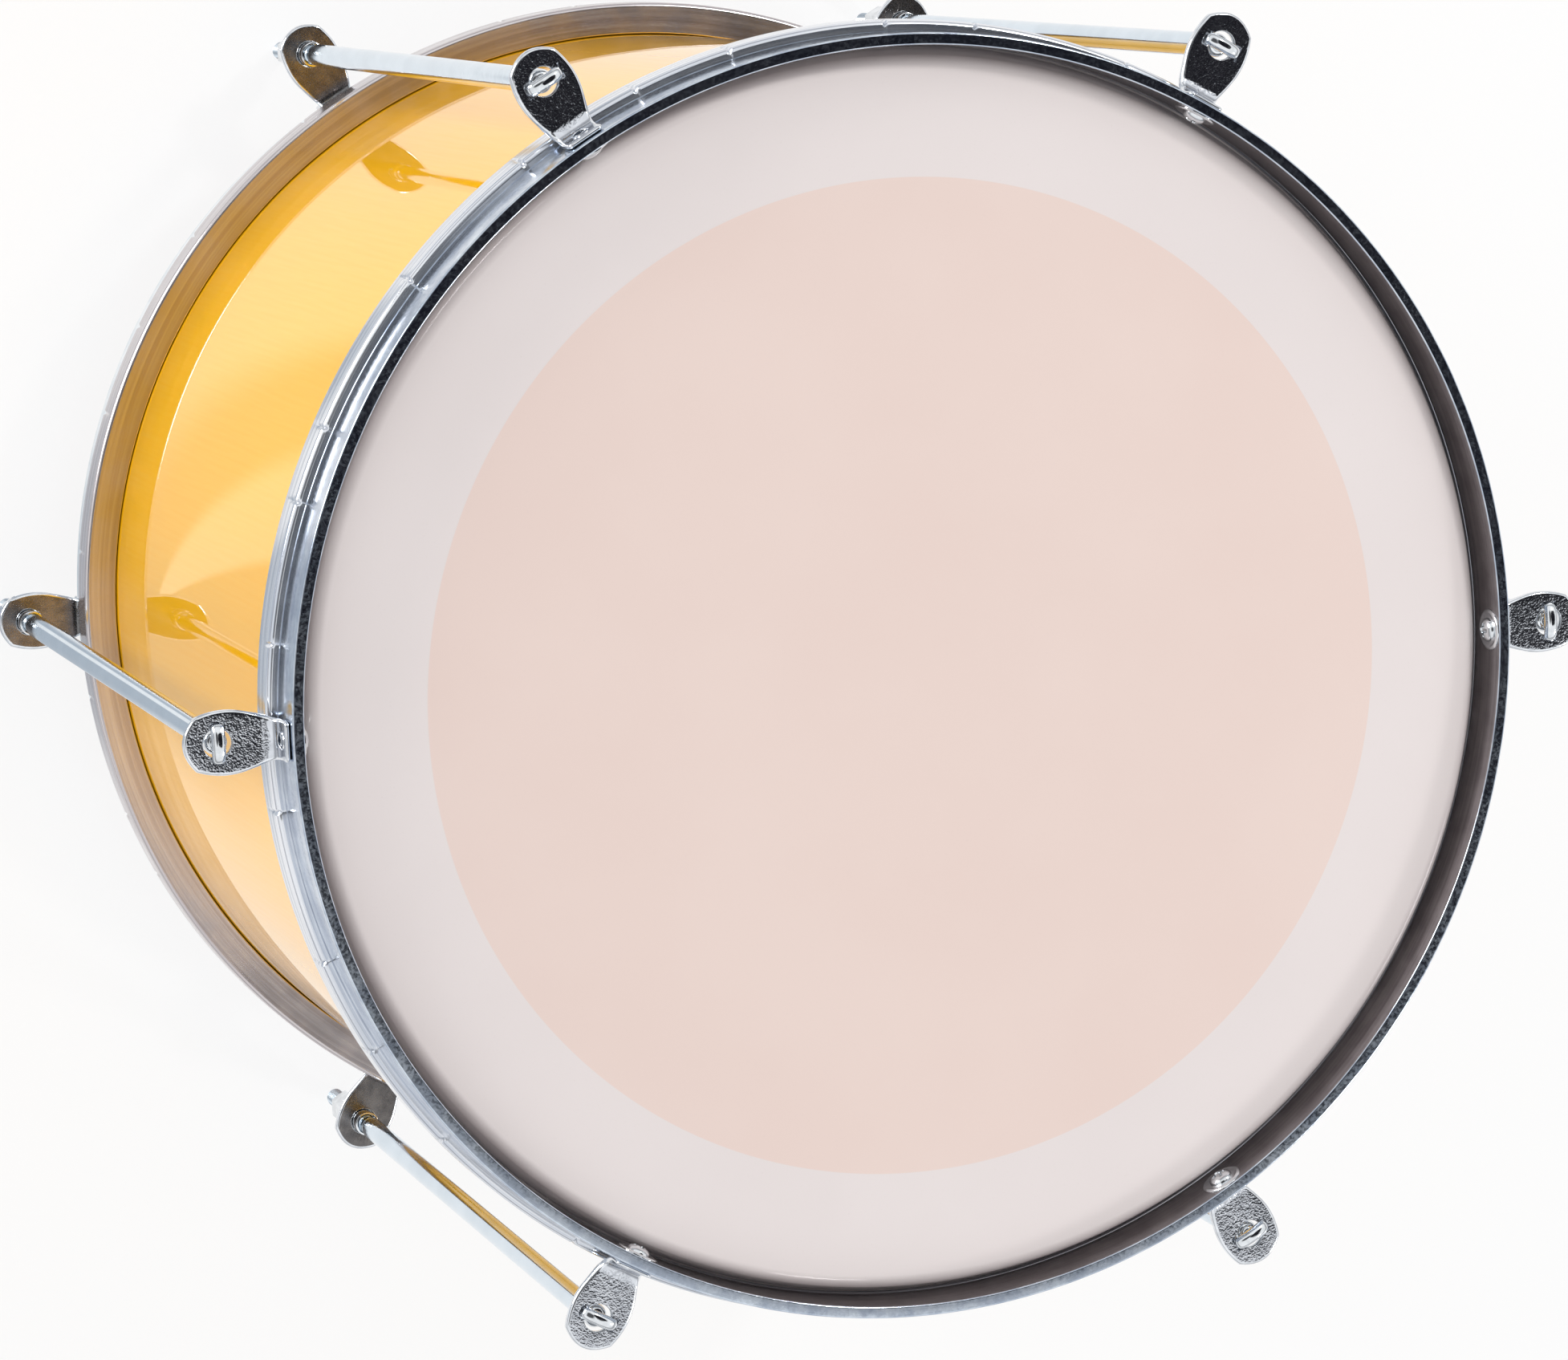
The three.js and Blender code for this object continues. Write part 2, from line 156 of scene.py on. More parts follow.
def turned(name, outline_at, angles, closed=True):
    """A mesh turned about +Z. outline_at gives the (radius, height) points in mm for an angle."""
    outlines = [outline_at(angle) for angle in angles]
    length = len(outlines[0])
    corners = []
    for angle, outline in zip(angles, outlines):
        across, along = math.cos(angle), math.sin(angle)
        corners += [(radius * across * MM, radius * along * MM, height * MM) for radius, height in outline]
    faces = []
    for column in range(len(angles)):
        beside = (column + 1) % len(angles)
        for row in range(length if closed else length - 1):
            above = (row + 1) % length
            here, there = column * length, beside * length
            faces.append((here + row, there + row, there + above, here + above))
    mesh = bpy.data.meshes.new(name)
    mesh.from_pydata(corners, [], faces)
    return finish_mesh(mesh)


def ring(name, outline, steps=RING_STEPS, closed=True):
    """A mesh turned from the same outline all round."""
    return turned(name, lambda angle: outline, even_angles(steps), closed)


# %% Placing helper
MIDDLE = 146.0  # height of the drum's middle over the rod ends


def add_piece(name, mesh, materials, node, place, body="drum"):
    """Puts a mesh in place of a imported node, and prints how far its box departs from the node's, in mm."""
    piece = new_object(name, mesh)
    piece.matrix_world = place
    if not mesh.materials:
        for entry in materials:
            mesh.materials.append(entry)
    weights = piece.modifiers.new("even shading", "WEIGHTED_NORMAL")
    weights.keep_sharp = True
    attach(piece, body)
    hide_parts(node)
    bpy.context.view_layer.update()
    low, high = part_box(node)
    points = [piece.matrix_world @ vert.co for vert in mesh.vertices]
    ends = [(min(p[axis] for p in points), max(p[axis] for p in points)) for axis in range(3)]
    worst = max(max(abs(ends[a][0] - low[a]), abs(ends[a][1] - high[a])) for a in range(3))
    print(f"{name}: {len(mesh.polygons)} faces, box within {worst / MM:.2f} mm of {node}")


def lug_turn(lug):
    """The turn about the drum's axis from the first lug to another."""
    return Matrix.Rotation(lug * math.tau / LUGS, 4, "Z")


def half_place(side, lug=0):
    """Where a piece of the upper half goes: on its lug, and turned over for the lower half."""
    over = Matrix.Rotation(0.0 if side == "top" else math.pi, 4, "X")
    return Matrix.Translation((0, 0, MIDDLE * MM)) @ lug_turn(lug) @ over


def add_at_each_ear(name, mesh, materials, node):
    """Adds the same piece at all six lugs of both halves."""
    for side in ("top", "bottom"):
        for lug in range(LUGS):
            number = lug + 1
            place = half_place(side, lug)
            add_piece(f"{side}_{name}_{number}", mesh, materials, f"{side}_{node}_{number}", place)


# %% [markdown]
# A material is a small graph of nodes. The helper below writes it in short lines of code, so that the
# reader sees what feeds what. Effects such as the streaks that run round a rolled hoop are node groups,
# built once and given other values in each material. They only put out masks and heights, and the shader
# stays in the material itself.

# %% Node graph helper
class Graph:
    """Adds nodes to a tree. A value that is an output socket is linked, any other is set."""

    def __init__(self, tree, shader=None):
        self.tree = tree
        self.shader = shader

    def node(self, kind, inputs=None, **settings):
        node = self.tree.nodes.new(kind)
        for key, value in settings.items():
            setattr(node, key, value)
        for key, value in (inputs or {}).items():
            self.feed(node.inputs[key], value)
        return node

    def feed(self, socket, value):
        if isinstance(value, bpy.types.NodeSocket):
            self.tree.links.new(value, socket)
        else:
            socket.default_value = value

    def dress(self, inputs):
        """Feeds the material's shader, socket by socket."""
        for label, value in inputs.items():
            self.feed(self.shader.inputs[label], value)

    def math(self, operation, first, second=0.0):
        return self.node("ShaderNodeMath", {0: first, 1: second}, operation=operation).outputs[0]

    def times(self, *factors):
        product = factors[0]
        for factor in factors[1:]:
            product = self.math("MULTIPLY", product, factor)
        return product

    def dot(self, first, second):
        """How far one vector reaches along another."""
        inputs = {0: first, 1: second}
        return self.node("ShaderNodeVectorMath", inputs, operation="DOT_PRODUCT").outputs["Value"]

    def scale(self, value, low=0.3, high=0.7, to_low=0.0, to_high=1.0):
        """Maps low and high to new ends. Most of a noise lies between 0.3 and 0.7."""
        inputs = {"Value": value, "From Min": low, "From Max": high, "To Min": to_low, "To Max": to_high}
        return self.node("ShaderNodeMapRange", inputs, interpolation_type="SMOOTHSTEP").outputs[0]

    def mix(self, share, first, second):
        node = self.node("ShaderNodeMix", data_type="RGBA")
        self.feed(node.inputs[0], share)
        self.feed(node.inputs[6], first)
        self.feed(node.inputs[7], second)
        return node.outputs[2]

    def place(self):
        """Place on the piece, in metres, which stays with the piece when it moves."""
        return self.node("ShaderNodeTexCoord").outputs["Object"]

    def place_parts(self):
        return self.node("ShaderNodeSeparateXYZ", {0: self.place()}).outputs

    def reach(self, parts):
        """Distance from the drum's axis, from the parts of a place."""
        flat = self.node("ShaderNodeCombineXYZ", {0: parts[0], 1: parts[1]}).outputs[0]
        return self.node("ShaderNodeVectorMath", {0: flat}, operation="LENGTH").outputs["Value"]

    def stretched(self, sizes):
        return self.node("ShaderNodeMapping", {"Vector": self.place(), "Scale": sizes}).outputs[0]

    def noise(self, vector, scale, detail=3.0, roughness=0.5):
        inputs = {"Vector": vector, "Scale": scale, "Detail": detail, "Roughness": roughness}
        return self.node("ShaderNodeTexNoise", inputs).outputs["Fac"]

    def bump(self, height, distance, strength=1.0):
        inputs = {"Height": height, "Distance": distance, "Strength": strength}
        return self.node("ShaderNodeBump", inputs).outputs[0]

    def use(self, group, **inputs):
        node = self.node("ShaderNodeGroup", node_tree=group)
        for key, value in inputs.items():
            self.feed(node.inputs[key], value)
        return node.outputs


def shared_group(name, inputs, outputs):
    """An empty node group with number inputs and outputs, and its graph."""
    tree = bpy.data.node_groups.new(name, "ShaderNodeTree")
    for label, value in inputs.items():
        socket = tree.interface.new_socket(name=label, in_out="INPUT", socket_type="NodeSocketFloat")
        socket.default_value = value
    for label in outputs:
        tree.interface.new_socket(name=label, in_out="OUTPUT", socket_type="NodeSocketFloat")
    graph = Graph(tree)
    given = graph.node("NodeGroupInput").outputs
    result = graph.node("NodeGroupOutput").inputs
    return tree, graph, given, result


def new_material(name):
    """A material and its graph, which knows the material's one Principled shader."""
    material = bpy.data.materials.new(name)
    material.use_nodes = True
    return material, Graph(material.node_tree, material.node_tree.nodes["Principled BSDF"])


# %% [markdown]
# Four effects are node groups. Ring streaks are the fine lines that rolling leaves along a bent bar, and
# they run round the drum. Plating mottle is the cloudy, slightly grainy look of bright zinc. Cast pebbles
# are the coarse bumps of the ears' outer faces. Lacquer ripple is the very slight unevenness of a clear
# coat, which bends reflections. All could be painted images, but noise from the piece's own coordinates
# stays sharp at any distance.

# %% Group: ring streaks
ring_streaks, graph, given, result = shared_group(
    "ring streaks", {"Round": 12.0, "Across": 900.0}, ["Streaks"]
)
parts = graph.place_parts()
across = graph.times(graph.math("ADD", graph.reach(parts), parts[2]), given["Across"])
round_x, round_y = (graph.times(parts[axis], given["Round"]) for axis in (0, 1))
vector = graph.node("ShaderNodeCombineXYZ", {0: round_x, 1: round_y, 2: across}).outputs[0]
graph.feed(result["Streaks"], graph.noise(vector, 1.0, 4.0, 0.6))

# %% Group: plating mottle
plating_mottle, graph, given, result = shared_group("plating mottle", {"Scale": 160.0}, ["Clouds", "Grain"])
graph.feed(result["Clouds"], graph.noise(graph.place(), given["Scale"], 3.0, 0.55))
fine_scale = graph.times(given["Scale"], 9.0)
graph.feed(result["Grain"], graph.noise(graph.place(), fine_scale, 2.0, 0.5))

# %% Group: cast pebbles
cast_pebbles, graph, given, result = shared_group("cast pebbles", {"Scale": 1100.0}, ["Height", "Hollows"])
cells = graph.node(
    "ShaderNodeTexVoronoi",
    {"Vector": graph.place(), "Scale": given["Scale"], "Randomness": 1.0, "Smoothness": 0.3},
    feature="SMOOTH_F1",
).outputs["Distance"]
swell = graph.noise(graph.place(), graph.times(given["Scale"], 0.45), 2.0, 0.5)
height = graph.math("SUBTRACT", swell, graph.times(cells, 0.7))
graph.feed(result["Height"], height)
graph.feed(result["Hollows"], graph.scale(cells, 0.35, 0.75))

# %% Group: lacquer ripple
lacquer_ripple, graph, given, result = shared_group("lacquer ripple", {"Scale": 55.0}, ["Height"])
broad = graph.noise(graph.place(), given["Scale"], 1.0, 0.4)
fine = graph.noise(graph.place(), graph.times(given["Scale"], 8.0), 1.0, 0.4)
graph.feed(result["Height"], graph.math("ADD", broad, graph.times(fine, 0.06)))
print("node groups:", [group.name for group in bpy.data.node_groups])

# %% [markdown]
# The shell is a thin metal cylinder under amber lacquer. Its ends roll inward and carry the heads. Seen
# almost along its wall, the clear lacquer mirrors the floor, and the amber only shows where something dark
# is reflected. So the finish is a coloured, half-metal base under a full clear coat, whose Fresnel does the
# rest. Pale and dark zones painted on the shell would look right from one side only.

# %% Finish: amber lacquer over metal
gold_lacquer, graph = new_material("amber_lacquer_over_metal")
drawn = graph.noise(graph.stretched((900.0, 900.0, 25.0)), 1.0, 2.0, 0.5)
clouds = graph.use(plating_mottle, Scale=5.0)["Clouds"]
amber = graph.mix(graph.scale(clouds), (0.97, 0.49, 0.003, 1), (0.99, 0.52, 0.006, 1))
amber = graph.mix(graph.scale(drawn, 0.35, 0.7, 0.0, 0.2), amber, (0.95, 0.46, 0.002, 1))
ripple = graph.use(lacquer_ripple, Scale=48.0)["Height"]
graph.dress({
    "Base Color": amber,
    "Roughness": graph.scale(drawn, 0.3, 0.7, 0.4, 0.46),
    "Metallic": 0.5,
    "Specular IOR Level": 0.0,
    "Specular Tint": (1.0, 0.8, 0.3, 1),
    "Coat Weight": 1.0,
    "Coat Roughness": 0.02,
    "Coat IOR": 1.5,
    "Normal": graph.bump(ripple, 0.00004),
    "Coat Normal": graph.bump(ripple, 0.00001),
})

# %% Shell
SHELL_RADIUS = 152.4
SHELL_WALL = 1.2
EDGE_BEND = 3.0
EDGE_LIP = 2.5
PLAYING_SURFACE = 116.5  # over the drum's middle, as are all heights of the upper half
FILM_WALL = 0.5
TOUCH_GAP = 0.3

crest_radius = SHELL_RADIUS - EDGE_BEND
bearing_top = PLAYING_SURFACE - FILM_WALL - TOUCH_GAP
bend_centre = bearing_top - EDGE_BEND
inner_bend = EDGE_BEND - SHELL_WALL
upper_end = arc(crest_radius, bend_centre, EDGE_BEND, 0, 180, 18)
upper_end += rounded(
    [
        (crest_radius - EDGE_BEND, bend_centre - 0.5, 0),
        (crest_radius - EDGE_BEND, bend_centre - EDGE_LIP, 0.3),
        (crest_radius - inner_bend, bend_centre - EDGE_LIP, 0.3),
        (crest_radius - inner_bend, bend_centre - 0.5, 0),
    ],
    3,
)
upper_end += arc(crest_radius, bend_centre, inner_bend, 180, 0, 12)
wall_rows = [(SHELL_RADIUS, bend_centre * share) for share in (-0.98, -0.5, 0.0, 0.5, 0.98)]
inner_rows = [(SHELL_RADIUS - SHELL_WALL, bend_centre * share) for share in (0.98, 0.0, -0.98)]
lower_end = [(radius, -height) for radius, height in reversed(upper_end)]
shell_outline = wall_rows + upper_end + inner_rows + lower_end
shell_mesh = ring("shell", shell_outline)
add_piece("lacquered_shell", shell_mesh, [gold_lacquer], "shell", half_place("top"))

# %% [markdown]
# A drum head is a sheet of polyester film with a moulded collar. The film is hazy and satin, and under it
# lies a separate ring of white film that damps the note and shows through as a paler outer band with a
# crisp edge. A see-through film could show the ring behind it. Haze that deep hides almost everything, so
# the film stays solid and its colour changes at the ring's edge. The ring itself is still there,
# underneath.

# %% Finish: hazy head film
DAMPING_INNER = 123.5
DAMPING_OUTER = 146.4
BAND_BLEND = 0.15


def head_film_material(name, ringed):
    material, graph = new_material(name)
    reach = graph.reach(graph.place_parts())
    haze = graph.use(plating_mottle, Scale=16.0)["Clouds"]
    grain = graph.use(plating_mottle, Scale=210.0)["Grain"]
    inner = graph.mix(graph.scale(haze), (0.835, 0.665, 0.6, 1), (0.85, 0.685, 0.62, 1))
    outer = graph.mix(graph.scale(haze), (0.815, 0.735, 0.715, 1), (0.835, 0.755, 0.735, 1))
    band_start, band_end = ((DAMPING_INNER + blend) * MM for blend in (-BAND_BLEND, BAND_BLEND))
    band = graph.scale(reach, band_start, band_end) if ringed else 0.0
    colour = graph.mix(band, inner, outer)
    specks = graph.scale(grain, 0.62, 0.78, 0.0, 0.12)
    colour = graph.mix(specks, colour, (0.66, 0.56, 0.52, 1))
    height = graph.math("ADD", haze, graph.times(grain, 0.08))
    graph.dress({
        "Base Color": colour,
        "Roughness": graph.scale(grain, 0.3, 0.7, 0.42, 0.52),
        "IOR": 1.45,
        "Coat Weight": 0.7,
        "Coat Roughness": 0.06,
        "Normal": graph.bump(height, 0.00003),
    })
    return material


ringed_film = head_film_material("hazy_film_over_damping_ring", True)
plain_film = head_film_material("hazy_film", False)

# %% Heads
FLESH_TOP = 109.7
FLESH_LIP_BOTTOM = 107.7
HEM_TOP = 107.4
COLLAR_INNER = 154.4
COLLAR_OUTER = COLLAR_INNER + FILM_WALL
HEM_OUTER = 158.5
FILM_RINGS = (0.0, 60.0, 120.0, 146.0)  # where the flat film has points

inner_turn = EDGE_BEND + TOUCH_GAP
outer_turn = inner_turn + FILM_WALL
collar_turn = (FLESH_TOP + FLESH_LIP_BOTTOM) / 2
film_outline = [(radius, PLAYING_SURFACE) for radius in FILM_RINGS]
film_outline += arc(crest_radius, bend_centre, outer_turn, 90, 14, 14)
film_outline += [
    (COLLAR_OUTER, collar_turn),
    (COLLAR_OUTER, HEM_TOP),
    (HEM_OUTER, HEM_TOP),
    (HEM_OUTER, HEM_TOP - FILM_WALL),
    (COLLAR_INNER, HEM_TOP - FILM_WALL),
    (COLLAR_INNER, collar_turn),
]
film_outline += arc(crest_radius, bend_centre, inner_turn, 14, 90, 10)
film_outline += [(FILM_RINGS[-1], PLAYING_SURFACE - FILM_WALL), (0.0, PLAYING_SURFACE - FILM_WALL)]
for side, finish in (("top", ringed_film), ("bottom", plain_film)):
    film_mesh = ring(side + "_film", film_outline, closed=False)
    add_piece(side + "_film", film_mesh, [finish], side + "_head_film", half_place(side))

# %% Damping ring
damping_film, graph = new_material("white_damping_film")
fibre = graph.use(plating_mottle, Scale=60.0)
clouds = graph.scale(fibre["Clouds"])
graph.dress({
    "Base Color": graph.mix(clouds, (0.84, 0.81, 0.8, 1), (0.9, 0.87, 0.86, 1)),
    "Roughness": graph.scale(fibre["Grain"], 0.3, 0.7, 0.45, 0.6),
    "Normal": graph.bump(fibre["Grain"], 0.00005),
})
DAMPING_WALL = 0.4
DAMPING_EDGE = 0.1
damping_outline = bar_outline(
    DAMPING_INNER, DAMPING_OUTER, bearing_top, bearing_top - DAMPING_WALL, DAMPING_EDGE, DAMPING_EDGE, 2
)
damping_mesh = ring("damping_ring", damping_outline)
add_piece(
    "film_damping_ring", damping_mesh, [damping_film], "top_damping_ring", half_place("top")
)

# %% [markdown]
# The flesh hoop is a channel of bright rolled metal that grips the hem of the film. At uneven distances a
# crimp is pressed across its outer corner, which shows as a short dark dash with a bright spot beside it.
# Bump could draw the crimps, but pressed into the mesh they also break the hoop's outline. The lathe gets a
# few extra columns at each crimp, where the outer points are pulled in. The lower hoop is the same metal,
# a little rougher, with painted shade: a darker, browner copy of its colours.

# %% Finish: bright rolled metal
def rolled_metal_material(name, dark, light, streak, metallic, roughness):
    """Aluminium with rolling streaks. The colours are the dark, the light and the broad streaks', which
    are partly a painted dark reflection.
    """
    material, graph = new_material(name)
    streaks = graph.use(ring_streaks, Round=10.0, Across=1500.0)["Streaks"]
    streaks_and_dark_reflection = graph.use(ring_streaks, Round=4.0, Across=450.0)["Streaks"]
    clouds = graph.use(plating_mottle, Scale=70.0)["Clouds"]
    metal = graph.mix(graph.scale(streaks, 0.35, 0.65), dark, light)
    # The broad streaks take a dark colour that is partly rolling streaks and partly a painted dark reflection.
    metal = graph.mix(graph.scale(streaks_and_dark_reflection, 0.45, 0.65, 0.0, 0.55), metal, streak)
    graph.dress({
        "Base Color": metal,
        "Metallic": metallic,
        "Roughness": graph.scale(clouds, 0.3, 0.7, roughness, roughness + 0.1),
        "Normal": graph.bump(streaks, 0.000005),
    })
    return material


rolled_metal = rolled_metal_material(
    "bright_rolled_metal", (0.58, 0.61, 0.67, 1), (0.8, 0.81, 0.84, 1), (0.24, 0.29, 0.37, 1), 0.85, 0.08
)
# Painted shade: the lower hoop's copy of the same metal, with darker, browner colours.
shaded_rolled_metal = rolled_metal_material(
    "painted_shade_rolled_metal", (0.53, 0.49, 0.5, 1), (0.66, 0.62, 0.62, 1), (0.42, 0.36, 0.36, 1), 0.9, 0.16
)

# %% Flesh hoops
FLESH_INNER = 152.6
FLESH_INNER_WALL = 153.9
FLESH_LIP_INNER = 155.4
FLESH_CAVITY_OUTER = 158.8
FLESH_OUTER = 161.2
FLESH_BOTTOM = 99.5
FLESH_CAVITY_BOTTOM = 106.6
FLESH_INNER_TOP = 108.0
CRIMP_COUNT = 31
CRIMP_HALF_WIDTH = 0.75
CRIMP_DEPTH = 0.55
CRIMP_ROWS = (3.5, 6.5)  # extra points up the outer wall, for the crimps to bend
CRIMP_START = 5.0  # up the outer wall
CRIMP_FULL = 7.0
CRIMP_INWARD = 2.2
CRIMP_BLEND = 1.2
CRIMP_SAG = 0.6  # share of the depth
FLESH_CORNER_STEPS = 6

draw = random.Random(7)
crimp_angles = []
for number in range(CRIMP_COUNT):
    crimp_angles.append((number + draw.uniform(-0.3, 0.3)) * math.tau / CRIMP_COUNT)
flesh_outline = rounded(
    [
        (FLESH_OUTER, FLESH_BOTTOM, 1.2),
        (FLESH_OUTER, FLESH_TOP, 1.5),
        (FLESH_LIP_INNER, FLESH_TOP, 0.4),
        (FLESH_LIP_INNER, FLESH_LIP_BOTTOM, 0.2),
        (FLESH_CAVITY_OUTER, FLESH_LIP_BOTTOM, 0.2),
        (FLESH_CAVITY_OUTER, FLESH_CAVITY_BOTTOM, 0.2),
        (FLESH_INNER_WALL, FLESH_CAVITY_BOTTOM, 0.2),
        (FLESH_INNER_WALL, FLESH_INNER_TOP, 0.2),
        (FLESH_INNER, FLESH_INNER_TOP, 0.3),
        (FLESH_INNER, FLESH_BOTTOM, 0.4),
    ],
    FLESH_CORNER_STEPS,
)
wall_points = [(FLESH_OUTER, FLESH_BOTTOM + rise) for rise in CRIMP_ROWS]
flesh_outline = flesh_outline[:FLESH_CORNER_STEPS + 1] + wall_points + flesh_outline[FLESH_CORNER_STEPS + 1:]


def crimp_share(angle):
    """How deep the nearest crimp is at an angle, from 0 to 1."""
    gap = min(abs((angle - crimp + math.pi) % math.tau - math.pi) for crimp in crimp_angles) * FLESH_OUTER
    return max(0.0, 1.0 - gap / CRIMP_HALF_WIDTH)


def crimped_outline(angle):
    share = crimp_share(angle)
    if share == 0:
        return flesh_outline
    points = []
    for radius, height in flesh_outline:
        upper = (height - FLESH_BOTTOM - CRIMP_START) / (CRIMP_FULL - CRIMP_START)
        outer = (radius - FLESH_OUTER + CRIMP_INWARD) / CRIMP_BLEND
        pull = share * min(1.0, max(0.0, upper)) * min(1.0, max(0.0, outer)) * CRIMP_DEPTH
        points.append((radius - pull, height - CRIMP_SAG * pull))
    return points


crimp_columns = []
for crimp in crimp_angles:
    for share in (-1.0, -0.35, 0.0, 0.35, 1.0):
        crimp_columns.append((crimp + share * CRIMP_HALF_WIDTH / FLESH_OUTER) % math.tau)
flesh_angles = sorted(even_angles(RING_STEPS) + crimp_columns)
flesh_mesh = turned("flesh_hoop", crimped_outline, flesh_angles)
flesh_copy = flesh_mesh.copy()
for side, side_mesh, finish in (("top", flesh_mesh, rolled_metal), ("bottom", flesh_copy, shaded_rolled_metal)):
    node = side + "_flesh_hoop"
    add_piece(side + "_channel_hoop", side_mesh, [finish], node, half_place(side))

# %% [markdown]
# A counter hoop is a flat steel bar bent into a ring, with its edges broken to small round arrises. Zinc
# plating gives it a bluish, slightly cloudy shine. Its inner wall has painted shade, a darker and warmer
# copy of the zinc, and the lower hoop has painted light, a paler copy. The ring is turned on the lathe,
# and its six screw holes are cut by a boolean, as a drill would do it after bending.

# %% Finish: bright zinc plating
def zinc_material(name, dark, light, roughness, streak_share, scale):
    """Bluish plated steel: streaks round the ring, if any, clouds and a fine grain."""
    material, graph = new_material(name)
    streaks = graph.use(ring_streaks, Round=14.0, Across=1100.0)["Streaks"]
    mottle = graph.use(plating_mottle, Scale=scale)
    ridges = graph.times(streaks, streak_share)
    shade = graph.math("ADD", ridges, graph.times(mottle["Clouds"], 1 - streak_share))
    height = graph.math("ADD", graph.times(mottle["Grain"], 0.3), ridges)
    graph.dress({
        "Base Color": graph.mix(graph.scale(shade, 0.35, 0.65), dark, light),
        "Metallic": 1.0,
        "Roughness": graph.scale(mottle["Grain"], 0.3, 0.7, roughness - 0.04, roughness + 0.05),
        "Normal": graph.bump(height, 0.000005),
    })
    return material


hoop_zinc = zinc_material("zinc_plated_hoop", (0.46, 0.52, 0.62, 1), (0.68, 0.74, 0.82, 1), 0.13, 0.2, 150.0)
# Painted light: a paler copy of the same zinc for the lower hoop.
lit_zinc_copy = zinc_material("painted_light_zinc_hoop", (0.72, 0.78, 0.82, 1), (0.88, 0.92, 0.94, 1), 0.14, 0.2, 150.0)
# Painted shade: a darker, warmer copy of the zinc for the hoops' inner walls.
shaded_zinc_wall = zinc_material("painted_shade_zinc_wall", (0.34, 0.32, 0.33, 1), (0.5, 0.48, 0.49, 1), 0.12, 0.6, 150.0)
rod_zinc = zinc_material("zinc_plated_rod", (0.66, 0.74, 0.81, 1), (0.72, 0.8, 0.87, 1), 0.1, 0.0, 60.0)
screw_zinc = zinc_material("zinc_plated_screw", (0.66, 0.68, 0.7, 1), (0.84, 0.86, 0.88, 1), 0.1, 0.0, 200.0)

# %% Counter hoops
HALF_HEIGHT = 124.0
HOOP_FAR_EDGE = 110.0
HOOP_INNER = 155.5
HOOP_OUTER = 158.45
OUTER_ARRIS = 0.45
INNER_ARRIS = 0.35

hoop_outline = bar_outline(HOOP_INNER, HOOP_OUTER, HOOP_FAR_EDGE, HALF_HEIGHT, INNER_ARRIS, OUTER_ARRIS, 6)
hoop_ring = ring("counter_hoop_ring", hoop_outline)
print("counter hoop ring:", len(hoop_ring.polygons), "faces")

# %% Screw holes in the counter hoops
SCREW_HEIGHT = 118.425
SCREW_HOLE = 2.35
DRILL_START = 150.0
DRILL_END = 162.0

drill_outline = [(0.0, DRILL_START), (SCREW_HOLE, DRILL_START), (SCREW_HOLE, DRILL_END), (0.0, DRILL_END)]
drill_mesh = ring("drill", drill_outline, 32, closed=False)
drilled = new_object("drilled_hoop", hoop_ring)
drills = []
drill_place = Matrix.Translation((0, 0, SCREW_HEIGHT * MM)) @ Matrix.Rotation(math.pi / 2, 4, "Y")
for lug in range(LUGS):
    drill = new_object(f"drill_{lug + 1}", drill_mesh)
    drill.matrix_world = lug_turn(lug) @ drill_place
    cut = drilled.modifiers.new(f"hole {lug + 1}", "BOOLEAN")
    cut.object = drill
    cut.solver = "EXACT"
    drills.append(drill)
bpy.context.view_layer.update()
hoop_mesh = bpy.data.meshes.new_from_object(drilled.evaluated_get(bpy.context.evaluated_depsgraph_get()))
for helper in [drilled, *drills]:
    bpy.data.objects.remove(helper)
finish_mesh(hoop_mesh)
print("counter hoop faces before and after drilling:", len(hoop_ring.polygons), len(hoop_mesh.polygons))
# Faces of the inner wall take the darker, warmer zinc, which is painted shade.
for face in hoop_mesh.polygons:
    on_inner_wall = abs(face.normal.z) < 0.3 and face.center.xy.length < (HOOP_INNER + INNER_ARRIS) * MM
    face.material_index = 1 if on_inner_wall else 0
hoop_copy = hoop_mesh.copy()
for side, side_mesh, outside in (("top", hoop_mesh, hoop_zinc), ("bottom", hoop_copy, lit_zinc_copy)):
    node = side + "_counter_hoop"
    add_piece(side + "_rim_hoop", side_mesh, [outside, shaded_zinc_wall], node, half_place(side))

# %% [markdown]
# An ear is a small plate that is cut to shape, drilled and then bent to an L. Its leg is screwed to the
# counter hoop, and the rod's head rests on its plate. It is built in the same order: a flat outline with
# its two holes, a thickness with rounded edges from a filled curve, extra cuts where it will bend, and then
# the bend. The leg is thinner than the plate, so each point is placed between an inside and an outside
# curve. The plate's outer face is coarse, as if cast, with painted shade between its pebbles. Its underside
# has painted shade, a dark copy of the plating, and the rest is bright.

# %% Plate helper
def filled_plate(name, loops, thickness, edge, edge_steps=3):
    """A flat plate in mm from closed loops, the first outside and the others holes, with rounded edges."""
    curve = bpy.data.curves.new(name, "CURVE")
    curve.dimensions = "2D"
    curve.fill_mode = "BOTH"
    curve.extrude = (thickness / 2 - edge) * MM
    curve.bevel_depth = edge * MM
    curve.bevel_resolution = edge_steps
    curve.offset = -edge * MM
    for loop in loops:
        spline = curve.splines.new("POLY")
        spline.points.add(len(loop) - 1)
        for point, (x, y) in zip(spline.points, loop):
            point.co = (x * MM, y * MM, 0, 1)
        spline.use_cyclic_u = True
    holder = new_object(name, curve)
    bpy.context.view_layer.update()
    mesh = bpy.data.meshes.new_from_object(holder.evaluated_get(bpy.context.evaluated_depsgraph_get()))
    bpy.data.objects.remove(holder)
    bpy.data.curves.remove(curve)
    mesh.name = name
    return mesh


